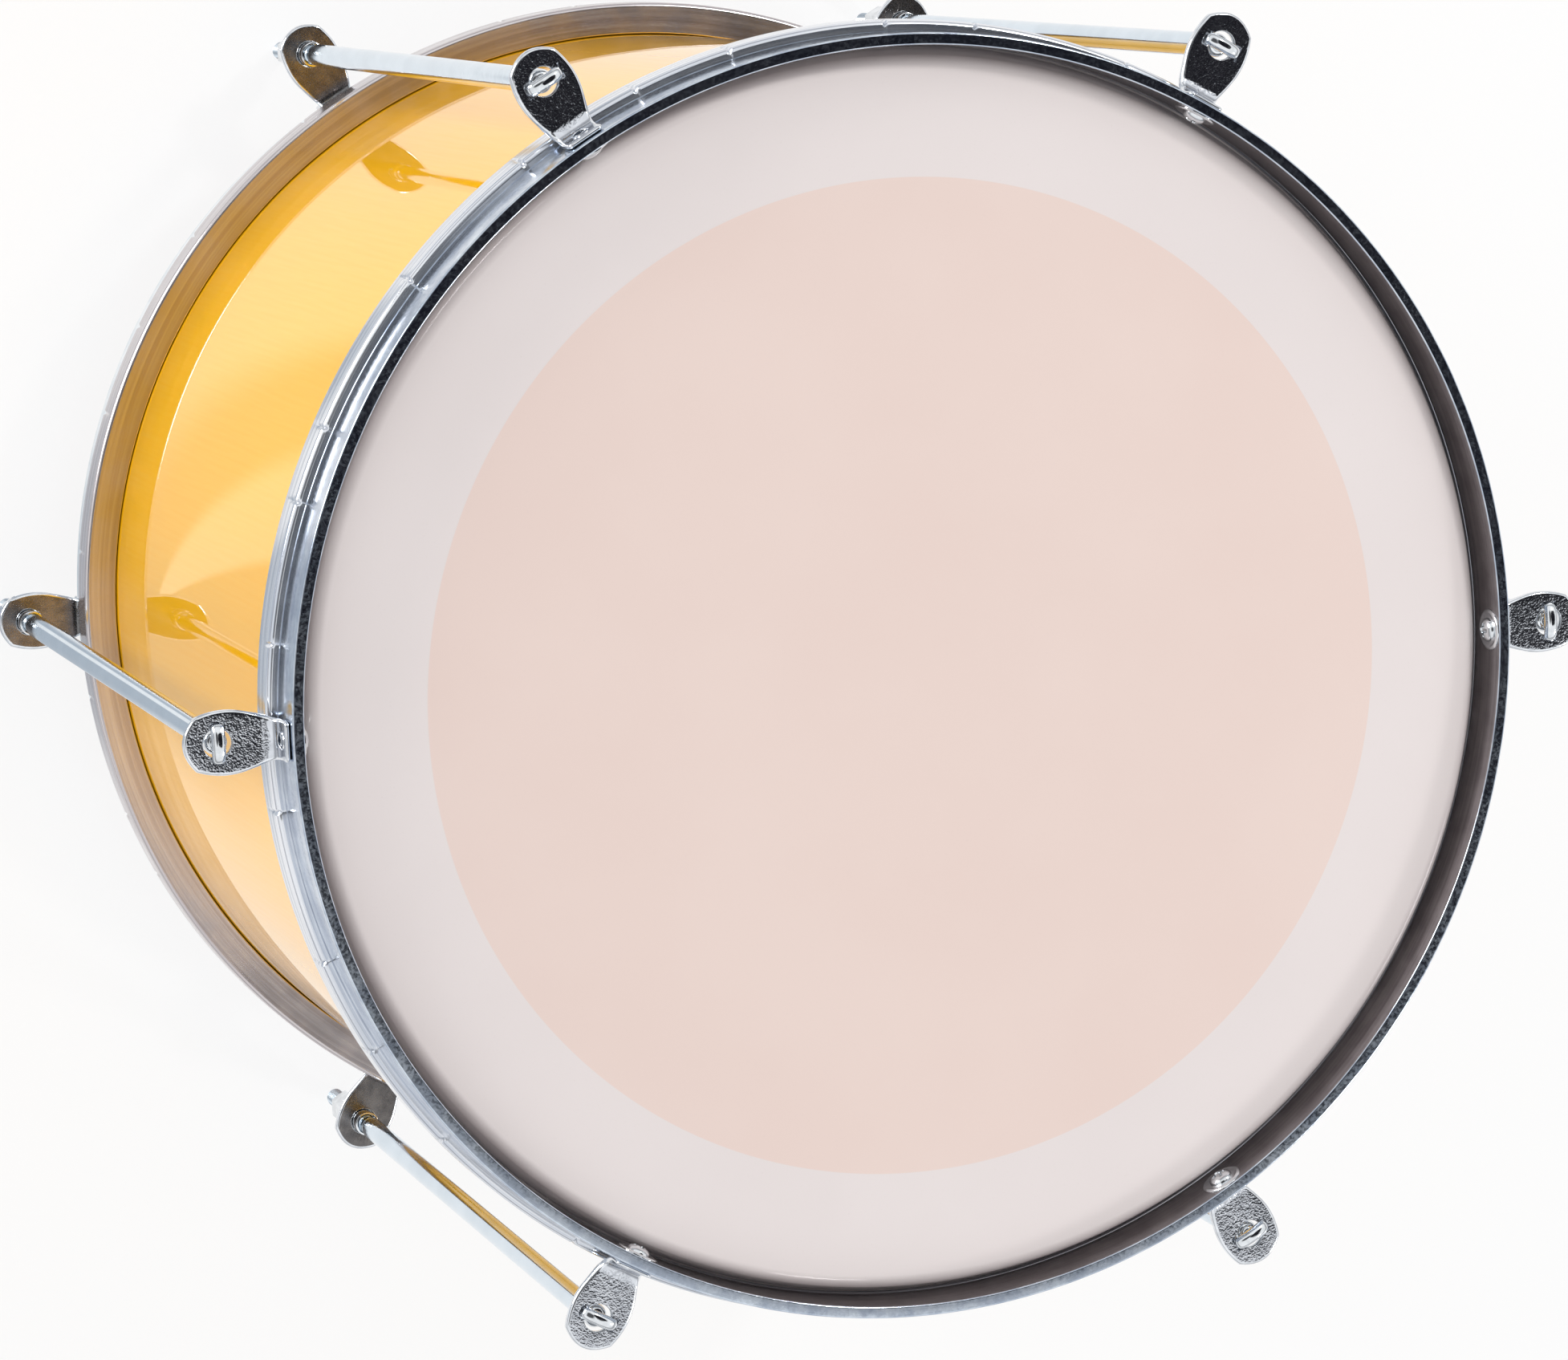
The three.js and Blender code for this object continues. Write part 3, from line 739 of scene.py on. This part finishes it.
def bezier(points, steps):
    """Points on a curve with two end points and one or two guide points, without its first point."""
    out = []
    order = len(points) - 1
    for step in range(1, steps + 1):
        t = step / steps
        x = y = 0.0
        for index, (px, py) in enumerate(points):
            weight = math.comb(order, index) * t**index * (1 - t) ** (order - index)
            x += weight * px
            y += weight * py
        out.append((x, y))
    return out


# %% Ear blank
LUG_REACH = 174.3
EAR_WALL = 2.0
EAR_SEAT = 158.46
EAR_LEG_FACE = 159.76
EAR_FILLET = 4.0
EAR_HEEL = 4.2
EAR_OUTER_FACE = 114.3
EAR_LEG_TOP = 121.8
EAR_NECK = 10.0
EAR_FLARE_START = 4.2
EAR_FLARE_SHARES = (0.25, 0.45)
EAR_BROAD = 15.8
EAR_BROAD_INSET = 2.0
EAR_END = 13.0
EAR_END_BOW = 3.0
EAR_TIP = 8.3
EAR_HOLE = 3.5
EAR_EDGE = 0.8
HOLE_EDGE = 0.25
EAR_CORNER = 1.4
EAR_SCREW_HOLE = 2.1
SEAT_DEPTH = 0.8
SEAT_WIDTH = 3.7
SEAT_LENGTH = 10.2

bend_x = EAR_LEG_FACE + EAR_FILLET
bend_height = EAR_OUTER_FACE + EAR_FILLET
heel_x = EAR_SEAT + EAR_HEEL
heel_height = EAR_OUTER_FACE - EAR_WALL + EAR_HEEL
middle_bend = (EAR_FILLET + EAR_HEEL) / 2
bend_length = middle_bend * math.pi / 2
leg_length = EAR_LEG_TOP - bend_height
blank_start = -bend_length - leg_length
hole_along = LUG_REACH - bend_x
broad_along = hole_along - EAR_BROAD_INSET
end_along = hole_along + EAR_TIP - EAR_END_BOW
screw_along = -bend_length - (SCREW_HEIGHT - bend_height)


def half_outline(side):
    """One side of the blank, from the leg's end to the pointed corner. Along the strip, then across it."""
    neck, broad, end = (side * width / 2 for width in (EAR_NECK, EAR_BROAD, EAR_END))
    flare = -EAR_FLARE_START
    flare_out, flare_in = (share * (broad_along - flare) for share in EAR_FLARE_SHARES)
    taper = (end_along - broad_along) / 2
    corner = side * EAR_CORNER
    points = [(blank_start, neck - corner)]
    points += bezier([(blank_start, neck - corner), (blank_start, neck), (blank_start + EAR_CORNER, neck)], 5)
    points.append((flare, neck))
    guides = [(flare, neck), (flare + flare_out, neck), (broad_along - flare_in, broad), (broad_along, broad)]
    points += bezier(guides, 14)
    points += bezier([(broad_along, broad), (broad_along + taper, broad), (end_along, end)], 8)
    return points


right_side = half_outline(-1)
left_side = half_outline(1)
bowed_end = bezier([right_side[-1], (end_along + 2 * EAR_END_BOW, 0), left_side[-1]], 12)[:-1]
ear_loop = right_side + bowed_end + left_side[::-1]
hole_loop = [(hole_along + x, y) for x, y in arc(0, 0, EAR_HOLE, 360, 0, 48)[:-1]]
screw_loop = [(screw_along + x, y) for x, y in arc(0, 0, EAR_SCREW_HOLE, 360, 0, 32)[:-1]]
ear_mesh = filled_plate("ear", [ear_loop, hole_loop, screw_loop], EAR_WALL, EAR_EDGE)
print("ear blank:", len(ear_mesh.polygons), "faces,", round(hole_along - blank_start + EAR_TIP, 1), "mm long")

# %% Ear cuts
BEND_CUTS = 14
SEAT_SLOPE = 0.15


def cut_across(work, place, direction):
    """Adds an edge where a plane crosses the mesh, without removing anything."""
    everything = work.verts[:] + work.edges[:] + work.faces[:]
    bmesh.ops.bisect_plane(work, geom=everything, plane_co=place, plane_no=direction, dist=1e-7)


work = bmesh.new()
work.from_mesh(ear_mesh)
bmesh.ops.remove_doubles(work, verts=work.verts, dist=JOIN_DISTANCE)
for vert in work.verts:
    for centre, radius in ((hole_along, EAR_HOLE), (screw_along, EAR_SCREW_HOLE)):
        away = Vector((vert.co.x - centre * MM, vert.co.y, 0))
        past_hole = away.length / MM - radius
        if past_hole < EAR_EDGE + 0.05:
            vert.co += away.normalized() * past_hole * (HOLE_EDGE / EAR_EDGE - 1) * MM
for step in range(BEND_CUTS + 1):
    along = -bend_length * step / BEND_CUTS
    cut_across(work, (along * MM, 0, 0), (1, 0, 0))
for edge_place in (SEAT_WIDTH / 2, SEAT_WIDTH / 2 + SEAT_SLOPE):
    for sign in (-1, 1):
        cut_across(work, ((hole_along + sign * edge_place) * MM, 0, 0), (1, 0, 0))
for edge_place in (SEAT_LENGTH / 2, SEAT_LENGTH / 2 + SEAT_SLOPE):
    for sign in (-1, 1):
        cut_across(work, (0, sign * edge_place * MM, 0), (0, 1, 0))
print("ear with its cuts:", len(work.faces), "faces")

# %% Ear faces, seat and bend
HEEL_LAG = 3.0

for face in work.faces:
    centre = face.calc_center_median()
    flat_top = face.normal.z > 0.995 and centre.z > (EAR_WALL / 2 - 0.01) * MM
    flat_under = face.normal.z < -0.995 and centre.z < (0.01 - EAR_WALL / 2) * MM
    face.material_index = 0
    if centre.x > -bend_length * MM:
        # Flat tops get the cast face, flat undersides the dark copy of the plating, which is painted shade.
        face.material_index = 1 if flat_top else 2 if flat_under else 0
for vert in work.verts:
    along, across, over = (part / MM for part in vert.co)
    in_seat = abs(along - hole_along) < SEAT_WIDTH / 2 + 0.01 and abs(across) < SEAT_LENGTH / 2 + 0.01
    if in_seat and over > 0:
        over -= SEAT_DEPTH * min(1.0, (over + 0.2) / (EAR_WALL / 2 + 0.2))
    if along >= 0:
        lag = (bend_x - heel_x) * max(0.0, 1 - along / HEEL_LAG)
        inside = Vector((bend_x + along, EAR_OUTER_FACE))
        outside = Vector((bend_x + along - lag, EAR_OUTER_FACE - EAR_WALL))
    elif along > -bend_length:
        angle = 1.5 * math.pi + along / middle_bend
        spoke = Vector((math.cos(angle), math.sin(angle)))
        inside = Vector((bend_x, bend_height)) + EAR_FILLET * spoke
        outside = Vector((heel_x, heel_height)) + EAR_HEEL * spoke
    else:
        share = -(along + bend_length) / leg_length
        inside = Vector((EAR_LEG_FACE, bend_height + share * leg_length))
        outside = Vector((EAR_SEAT, heel_height + share * (EAR_LEG_TOP - heel_height)))
    x, z = outside.lerp(inside, over / EAR_WALL + 0.5)
    vert.co = (x * MM, across * MM, z * MM)
work.to_mesh(ear_mesh)
work.free()
finish_mesh(ear_mesh, math.radians(50))

# %% Finish: ears
CAST_START = -2.3
CAST_FADE = 0.3
CAST_BOW = 0.07


def plain_ear_material(name, dark, light, roughness):
    """Smooth plating with small clouds, for the rims and the legs of the ears, and in a dark copy, which
    is painted shade, for their undersides.
    """
    material, graph = new_material(name)
    mottle = graph.use(plating_mottle, Scale=300.0)
    graph.dress({
        "Base Color": graph.mix(graph.scale(mottle["Clouds"]), dark, light),
        "Metallic": 1.0,
        "Roughness": graph.scale(mottle["Grain"], 0.3, 0.7, roughness, roughness + 0.07),
        "Normal": graph.bump(mottle["Clouds"], 0.00001),
    })
    return material


ear_smooth = plain_ear_material("plated_ear_rim", (0.66, 0.68, 0.71, 1), (0.82, 0.84, 0.87, 1), 0.07)
# Painted shade: a dark copy of the plating for the ears' undersides.
shaded_ear_plating = plain_ear_material("painted_shade_under_ears", (0.19, 0.18, 0.18, 1), (0.29, 0.27, 0.26, 1), 0.22)

ear_coarse, graph = new_material("plated_ear_cast_face")
pebbles = graph.use(cast_pebbles, Scale=2100.0)
mottle = graph.use(plating_mottle, Scale=220.0)
parts = graph.place_parts()
bow = graph.times(parts[1], parts[1], CAST_BOW / MM)
past_fold = graph.math("SUBTRACT", parts[0], bow)
cast = graph.scale(past_fold, (bend_x + CAST_START) * MM, (bend_x + CAST_START + CAST_FADE) * MM)
metal = graph.mix(graph.scale(mottle["Clouds"]), (0.6, 0.62, 0.66, 1), (0.74, 0.76, 0.8, 1))
# Painted shade: the pits between the pebbles are darkened.
hollow_shade = graph.times(pebbles["Hollows"], cast, 0.45)
graph.dress({
    "Base Color": graph.mix(hollow_shade, metal, (0.26, 0.27, 0.3, 1)),
    "Metallic": 1.0,
    "Roughness": graph.scale(cast, 0.0, 1.0, 0.1, 0.14),
    "Normal": graph.bump(graph.times(pebbles["Height"], cast), 0.00005),
})

# %% Ears
add_at_each_ear("bent_ear", ear_mesh, [ear_smooth, ear_coarse, shaded_ear_plating], "ear")

# %% [markdown]
# Each ear is held by one screw, whose broad head sits inside the counter hoop: a thin flange with a raised
# rim, a dome in the middle and a cross recess. It is a round grid whose points are set to the head's height
# at that place, which gives the recess its four arms without any boolean.

# %% Ear screws
SCREW_SEAT = 155.45
SCREW_HEAD_RADIUS = 5.3
FLANGE_HEIGHT = 0.38
FLANGE_RIM = 0.14
FLANGE_ROUND = 0.35
SCREW_HEAD_HEIGHT = 2.0
SCREW_SHANK = 2.0
SCREW_END_PROUD = 0.1
DOME_RADIUS = 3.1
RECESS_ARM = 1.75
RECESS_HALF_WIDTH = 0.42
RECESS_DEPTH = 1.1
HEAD_RINGS = 46


def head_height(radius, angle):
    """Height of the screw head over its seat."""
    flange = FLANGE_HEIGHT + FLANGE_RIM * math.exp(-(((radius - SCREW_HEAD_RADIUS + 0.75) / 0.4) ** 2))
    if radius > SCREW_HEAD_RADIUS - FLANGE_ROUND:
        over = (radius - SCREW_HEAD_RADIUS + FLANGE_ROUND) / FLANGE_ROUND
        flange *= math.sqrt(max(0.0, 1 - over * over)) * 0.6 + 0.4
    dome = 0.0
    if radius < DOME_RADIUS:
        dome = (SCREW_HEAD_HEIGHT - FLANGE_HEIGHT) * math.sqrt(1 - (radius / DOME_RADIUS) ** 2)
    height = flange + dome
    x, y = abs(radius * math.cos(angle)), abs(radius * math.sin(angle))
    arm, side_way = max(x, y), min(x, y)
    if arm < RECESS_ARM and side_way < RECESS_HALF_WIDTH + 0.25 * (1 - arm / RECESS_ARM):
        height -= RECESS_DEPTH * (1 - arm / RECESS_ARM) ** 0.4
    return height


def screw_outline(angle):
    points = []
    for ring in range(HEAD_RINGS + 1):
        radius = SCREW_HEAD_RADIUS * ring / HEAD_RINGS
        points.append((radius, head_height(radius, angle)))
    points += [(SCREW_HEAD_RADIUS, 0.0), (SCREW_SHANK, 0.0)]
    shank_length = EAR_LEG_FACE + SCREW_END_PROUD - SCREW_SEAT
    points += [(SCREW_SHANK, 0.3 - shank_length), (SCREW_SHANK - 0.3, -shank_length), (0.0, -shank_length)]
    return points


screw_mesh = turned("ear_screw", screw_outline, even_angles(96), closed=False)
for vert in screw_mesh.vertices:
    x, y, z = vert.co
    vert.co = (SCREW_SEAT * MM - z, y, SCREW_HEIGHT * MM + x)
screw_mesh.flip_normals()
finish_mesh(screw_mesh, math.radians(30))
add_at_each_ear("crosshead_screw", screw_mesh, [screw_zinc], "ear_screw")

# %% [markdown]
# Each tension rod is a long steel pin with a domed T-shaped head on a thin neck at the top and a rolled
# thread at the tail. The lathe makes the pin and its thread in one go: on the thread, the outline slides
# along the rod as the angle grows, which is exactly what a screw thread is. The head is a small plate with
# the outline of a loaf and rounded edges.

# %% Tension rods
ROD_RADIUS = 3.0
THREAD_MAJOR = 2.5
THREAD_MINOR = 2.12
THREAD_PITCH = 0.8
ROD_TAPER = 6.0
ROD_END = -146.0
ROD_TIP = 1.5
THREAD_TOP = -108.0
ROD_HEAD_LENGTH = 9.6
ROD_HEAD_WIDTH = 3.3
ROD_HEAD_HEIGHT = 3.2
ROD_HEAD_SIDE = 1.2
ROD_HEAD_BOTTOM = 113.8
ROD_HEAD_EDGE = 1.35
THREAD_ROWS = 5
SHOULDER_DROP = 2.6
SHOULDER_DOME = 1.5
NECK_RADIUS = 1.45


def thread_radius(height, angle, major, minor):
    """Radius of a right-hand thread at a height and an angle."""
    turn_share = (height / THREAD_PITCH - angle / math.tau) % 1.0
    ridge = 1 - abs(2 * turn_share - 1)
    return minor + (major - minor) * min(1.0, max(0.0, ridge * 1.35 - 0.15))


def rod_outline(angle):
    points = [(0.0, ROD_END), (ROD_TIP, ROD_END)]
    step = THREAD_PITCH / THREAD_ROWS
    rows = int((THREAD_TOP - ROD_END) / step)
    for row in range(rows + 1):
        height = ROD_END + row * step
        limit = ROD_TIP + (height - ROD_END) * 1.1
        end_limit = THREAD_MINOR + (THREAD_TOP - height) * 1.5
        radius = thread_radius(height, angle, THREAD_MAJOR, THREAD_MINOR)
        points.append((min(radius, limit, max(THREAD_MINOR, end_limit)), height))
    points += [(THREAD_MINOR, THREAD_TOP + 0.3), (THREAD_MAJOR - 0.1, THREAD_TOP + 1.0)]
    points += [(ROD_RADIUS - 0.08, THREAD_TOP + ROD_TAPER - 0.8), (ROD_RADIUS, THREAD_TOP + ROD_TAPER)]
    shoulder = ROD_HEAD_BOTTOM - SHOULDER_DROP
    points += [(ROD_RADIUS, 0.0), (ROD_RADIUS, shoulder - 1)]
    for x, y in arc(0, 0, 1, 0, 90, 10):
        points.append((NECK_RADIUS + (ROD_RADIUS - NECK_RADIUS) * x, shoulder + SHOULDER_DOME * y))
    points += [(NECK_RADIUS, ROD_HEAD_BOTTOM + 0.3), (0.0, ROD_HEAD_BOTTOM + 0.3)]
    return points


rod_mesh = turned("rod_pin", rod_outline, even_angles(36), closed=False)
half_head = ROD_HEAD_LENGTH / 2
head_loop = [(-half_head + 0.3, 0.0), (half_head - 0.3, 0.0), (half_head, 0.3)]
for x, y in arc(0, 0, 1, 0, 180, 28):
    head_loop.append((x * half_head, ROD_HEAD_SIDE + y * (ROD_HEAD_HEIGHT - ROD_HEAD_SIDE)))
head_loop.append((-half_head, 0.3))
head_mesh = filled_plate("rod_head", [head_loop], ROD_HEAD_WIDTH, ROD_HEAD_EDGE, 7)
work = bmesh.new()
work.from_mesh(rod_mesh)
pin_faces = len(work.faces)
head_copy = head_mesh.copy()
to_head = Matrix(((0, 0, 1, 0), (1, 0, 0, 0), (0, 1, 0, ROD_HEAD_BOTTOM * MM), (0, 0, 0, 1)))
head_copy.transform(to_head)
work.from_mesh(head_copy)
work.faces.ensure_lookup_table()
for number, face in enumerate(work.faces):
    on_neck = face.calc_center_median().z > (ROD_HEAD_BOTTOM - SHOULDER_DROP) * MM
    face.material_index = 1 if number >= pin_faces or on_neck else 0
work.to_mesh(rod_mesh)
work.free()
finish_mesh(rod_mesh)
out_to_rod = Matrix.Translation((LUG_REACH * MM, 0, 0))
rod_finishes = [rod_zinc, screw_zinc]
for lug in range(LUGS):
    number = lug + 1
    rod_place = half_place("top", lug) @ out_to_rod
    add_piece(f"t_head_rod_{number}", rod_mesh, rod_finishes, f"tension_rod_{number}", rod_place)

# %% [markdown]
# Under the lower ears sit a washer and a long nut. The nut is a hexagon bar with its ends turned to a
# slight cone, a round collar that passes up through the washer and the ear, and a threaded bore. Its
# outline on the lathe is the smaller of the hexagon at that angle and the cone at that height, which is
# also how the real one is cut.

# %% Washers
WASHER_INNER = 3.75
WASHER_OUTER = 5.5
WASHER_TOP = -114.6
WASHER_WALL = 1.2
washer_outline = bar_outline(WASHER_INNER, WASHER_OUTER, WASHER_TOP, WASHER_TOP - WASHER_WALL, 0.2, 0.35, 4)
washer_mesh = ring("washer", washer_outline, 72)

# %% Barrel nuts
NUT_FLAT = 4.0
NUT_TOP = -116.1
NUT_BOTTOM = -133.1
NUT_COLLAR = 3.378
NUT_COLLAR_TOP = -108.3
BORE_MAJOR = 2.78
BORE_MINOR = 2.56
CONE_START = 4.0
CONE_SLOPE = 0.55
CONE_ROWS = 8
CONE_ROW_STEP = 0.06


def nut_outline(angle):
    """The nut at an angle: up its outside, over its collar, and down its threaded bore."""
    flat_angle = (angle + math.pi / 6) % (math.pi / 3) - math.pi / 6
    flat = NUT_FLAT / math.cos(flat_angle)
    points = []
    for step in range(CONE_ROWS + 1):
        height = NUT_BOTTOM + CONE_ROW_STEP * step
        points.append((min(flat, CONE_START + (height - NUT_BOTTOM) / CONE_SLOPE), height))
    points += [(flat, NUT_BOTTOM + 1.0), (flat, NUT_TOP - 1.0)]
    for step in range(CONE_ROWS, -1, -1):
        height = NUT_TOP - CONE_ROW_STEP * step
        points.append((min(flat, CONE_START + (NUT_TOP - height) / CONE_SLOPE), height))
    points += [(NUT_COLLAR + 0.2, NUT_TOP), (NUT_COLLAR, NUT_TOP + 0.2), (NUT_COLLAR, NUT_COLLAR_TOP - 0.25)]
    points += [(NUT_COLLAR - 0.08, NUT_COLLAR_TOP - 0.08), (NUT_COLLAR - 0.25, NUT_COLLAR_TOP)]
    points.append((BORE_MAJOR + 0.1, NUT_COLLAR_TOP))
    rows = int((NUT_COLLAR_TOP - NUT_BOTTOM - 0.6) / (THREAD_PITCH / 4))
    for row in range(rows + 1):
        height = NUT_COLLAR_TOP - 0.3 - row * THREAD_PITCH / 4
        points.append((thread_radius(height, angle, BORE_MAJOR, BORE_MINOR), height))
    points.append((BORE_MAJOR + 0.1, NUT_BOTTOM))
    return points


nut_mesh = turned("barrel_nut", nut_outline, even_angles(72))
for lug in range(LUGS):
    number = lug + 1
    rod_place = half_place("top", lug) @ out_to_rod
    add_piece(
        f"slide_washer_{number}", washer_mesh, [screw_zinc], f"washer_{number}",
        rod_place, f"washer_slide_{number}",
    )
    add_piece(
        f"hexagon_nut_{number}", nut_mesh, [screw_zinc], f"barrel_nut_{number}",
        rod_place, f"nut_{number}",
    )

# %% [markdown]
# The stage is a plain white floor in a pale surround, as in a light tent, with three lamps. A dark card
# hangs overhead, and the room is dark on one side, as behind a photographer. Only mirrors that face up show
# them: the flat edges of the hoops turn black between their bright arrises. Both are soft dark patches in
# the surround, so they can't get in the way of another view. A grey sheet with a slit lies beside the drum,
# and only mirrors see it. It gives the near rods their darker sides, and the slit gives one of them its
# bright line.

# %% Floor
FLOOR_HALF = 6.0
FLOOR_GLOW = 0.8
MIRRORED_GLOW = 0.85
GREY_SHEET_EDGE = -0.16
GREY_SHEET_END = -0.055
SLIT_FOOT = Vector((-LUG_REACH * MM, 0, 0))
SLIT_DIRECTION = Vector((-0.477, 0.879, 0))
SLIT_ACROSS = Vector((0.879, 0.477, 0))
SLIT_SLOPE = 0.28
floor_mesh = bpy.data.meshes.new("floor")
floor_mesh.from_pydata(
    [(x * FLOOR_HALF, y * FLOOR_HALF, 0) for x, y in ((-1, -1), (1, -1), (1, 1), (-1, 1))],
    [],
    [(0, 1, 2, 3)],
)
floor = new_object("floor", floor_mesh)
floor_white, graph = new_material("floor_white")
soft_tone = graph.noise(graph.place(), 3.0, 2.0, 0.5)
floor_tone = graph.mix(soft_tone, (0.9, 0.9, 0.905, 1), (0.92, 0.92, 0.92, 1))
graph.dress({"Base Color": floor_tone, "Roughness": 0.8})
rays = graph.node("ShaderNodeLightPath").outputs
mirrored = graph.math("MAXIMUM", rays["Is Glossy Ray"], rays["Is Transmission Ray"])
parts = graph.place_parts()
sheet_edge = graph.scale(parts[0], GREY_SHEET_EDGE - 0.012, GREY_SHEET_EDGE + 0.008, 1.0, 0.0)
sheet_end = graph.scale(parts[1], GREY_SHEET_END - 0.05, GREY_SHEET_END + 0.03)
along = graph.dot(graph.place(), SLIT_DIRECTION)
aside = graph.dot(graph.place(), SLIT_ACROSS)
from_foot = graph.math("MAXIMUM", graph.math("SUBTRACT", along, SLIT_FOOT.dot(SLIT_DIRECTION)), 0.001)
off_slit = graph.math("ABSOLUTE", graph.math("SUBTRACT", aside, SLIT_FOOT.dot(SLIT_ACROSS)))
slit = graph.scale(graph.math("DIVIDE", off_slit, from_foot), SLIT_SLOPE - 0.08, SLIT_SLOPE + 0.08, 0.0, 1.0)
sheet = graph.times(sheet_edge, sheet_end, mirrored, slit)
tone = graph.mix(sheet, (1, 1, 1, 1), (0.44, 0.5, 0.57, 1))
white = graph.node("ShaderNodeEmission", {"Color": tone, "Strength": 1.0}).outputs[0]
camera_share = graph.times(rays["Is Camera Ray"], FLOOR_GLOW)
share = graph.math("MAXIMUM", camera_share, graph.times(mirrored, MIRRORED_GLOW))
shown = graph.node("ShaderNodeMixShader", {0: share, 1: graph.shader.outputs[0], 2: white}).outputs[0]
graph.feed(floor_white.node_tree.nodes["Material Output"].inputs["Surface"], shown)
floor_mesh.materials.append(floor_white)

# %% Surround with a dark card overhead
CARD_DIRECTION = Vector((0.4, 0.1, 1.0)).normalized()
CARD_INSIDE = math.cos(math.radians(20.0))
CARD_OUTSIDE = math.cos(math.radians(22.0))
ROOM_DIRECTION = Vector((-0.34, 0.17, 1.0)).normalized()
ROOM_INSIDE = math.cos(math.radians(15.0))
ROOM_OUTSIDE = math.cos(math.radians(24.0))
SURROUND_STRENGTH = 1.04
world = bpy.data.worlds.new("surround")
bpy.context.scene.world = world
world.use_nodes = True
graph = Graph(world.node_tree)
world.node_tree.nodes.clear()
direction = graph.node("ShaderNodeTexCoord").outputs["Generated"]
card = graph.scale(graph.dot(direction, CARD_DIRECTION), CARD_OUTSIDE, CARD_INSIDE)
room = graph.scale(graph.dot(direction, ROOM_DIRECTION), ROOM_OUTSIDE, ROOM_INSIDE, 0.0, 0.92)
card = graph.math("MAXIMUM", card, room)
rise = graph.node("ShaderNodeSeparateXYZ", {0: direction}).outputs[2]
walls = graph.mix(graph.scale(rise, 0.2, 0.45), (0.45, 0.46, 0.48, 1), (0.97, 0.985, 1.0, 1))
colour = graph.mix(card, walls, (0.012, 0.012, 0.016, 1))
light = graph.node("ShaderNodeBackground", {"Color": colour, "Strength": SURROUND_STRENGTH}).outputs[0]
backdrop = graph.node("ShaderNodeBackground", {"Color": (1, 1, 1, 1), "Strength": 1.0}).outputs[0]
seen = graph.node("ShaderNodeLightPath").outputs["Is Camera Ray"]
mixed = graph.node("ShaderNodeMixShader", {0: seen, 1: light, 2: backdrop}).outputs[0]
graph.node("ShaderNodeOutputWorld", {"Surface": mixed})

# %% Lamps
LAMPS = {
    "crest lamp": ((1.05, 1.25, 1.75), 0.3, 10.5),
    "low crest lamp": ((1.5, -1.1, 1.35), 0.3, 7.0),
    "shell lamp": ((-1.75, 0.95, 0.35), 1.0, 33.0),
}
for name, (place, size, watts) in LAMPS.items():
    lamp_data = bpy.data.lights.new(name, "AREA")
    lamp_data.shape = "DISK"
    lamp_data.size = size
    lamp_data.energy = watts
    lamp = new_object(name, lamp_data)
    lamp.location = place
    lamp.rotation_euler = (CAMERA_AIM - lamp.location).to_track_quat("-Z", "Y").to_euler()
    print(name, "is", round((lamp.location - CAMERA_AIM).length, 2), "m away")

# %% [markdown]
# Last, the scene is brought up to date.

# %% Update
bpy.context.view_layer.update()
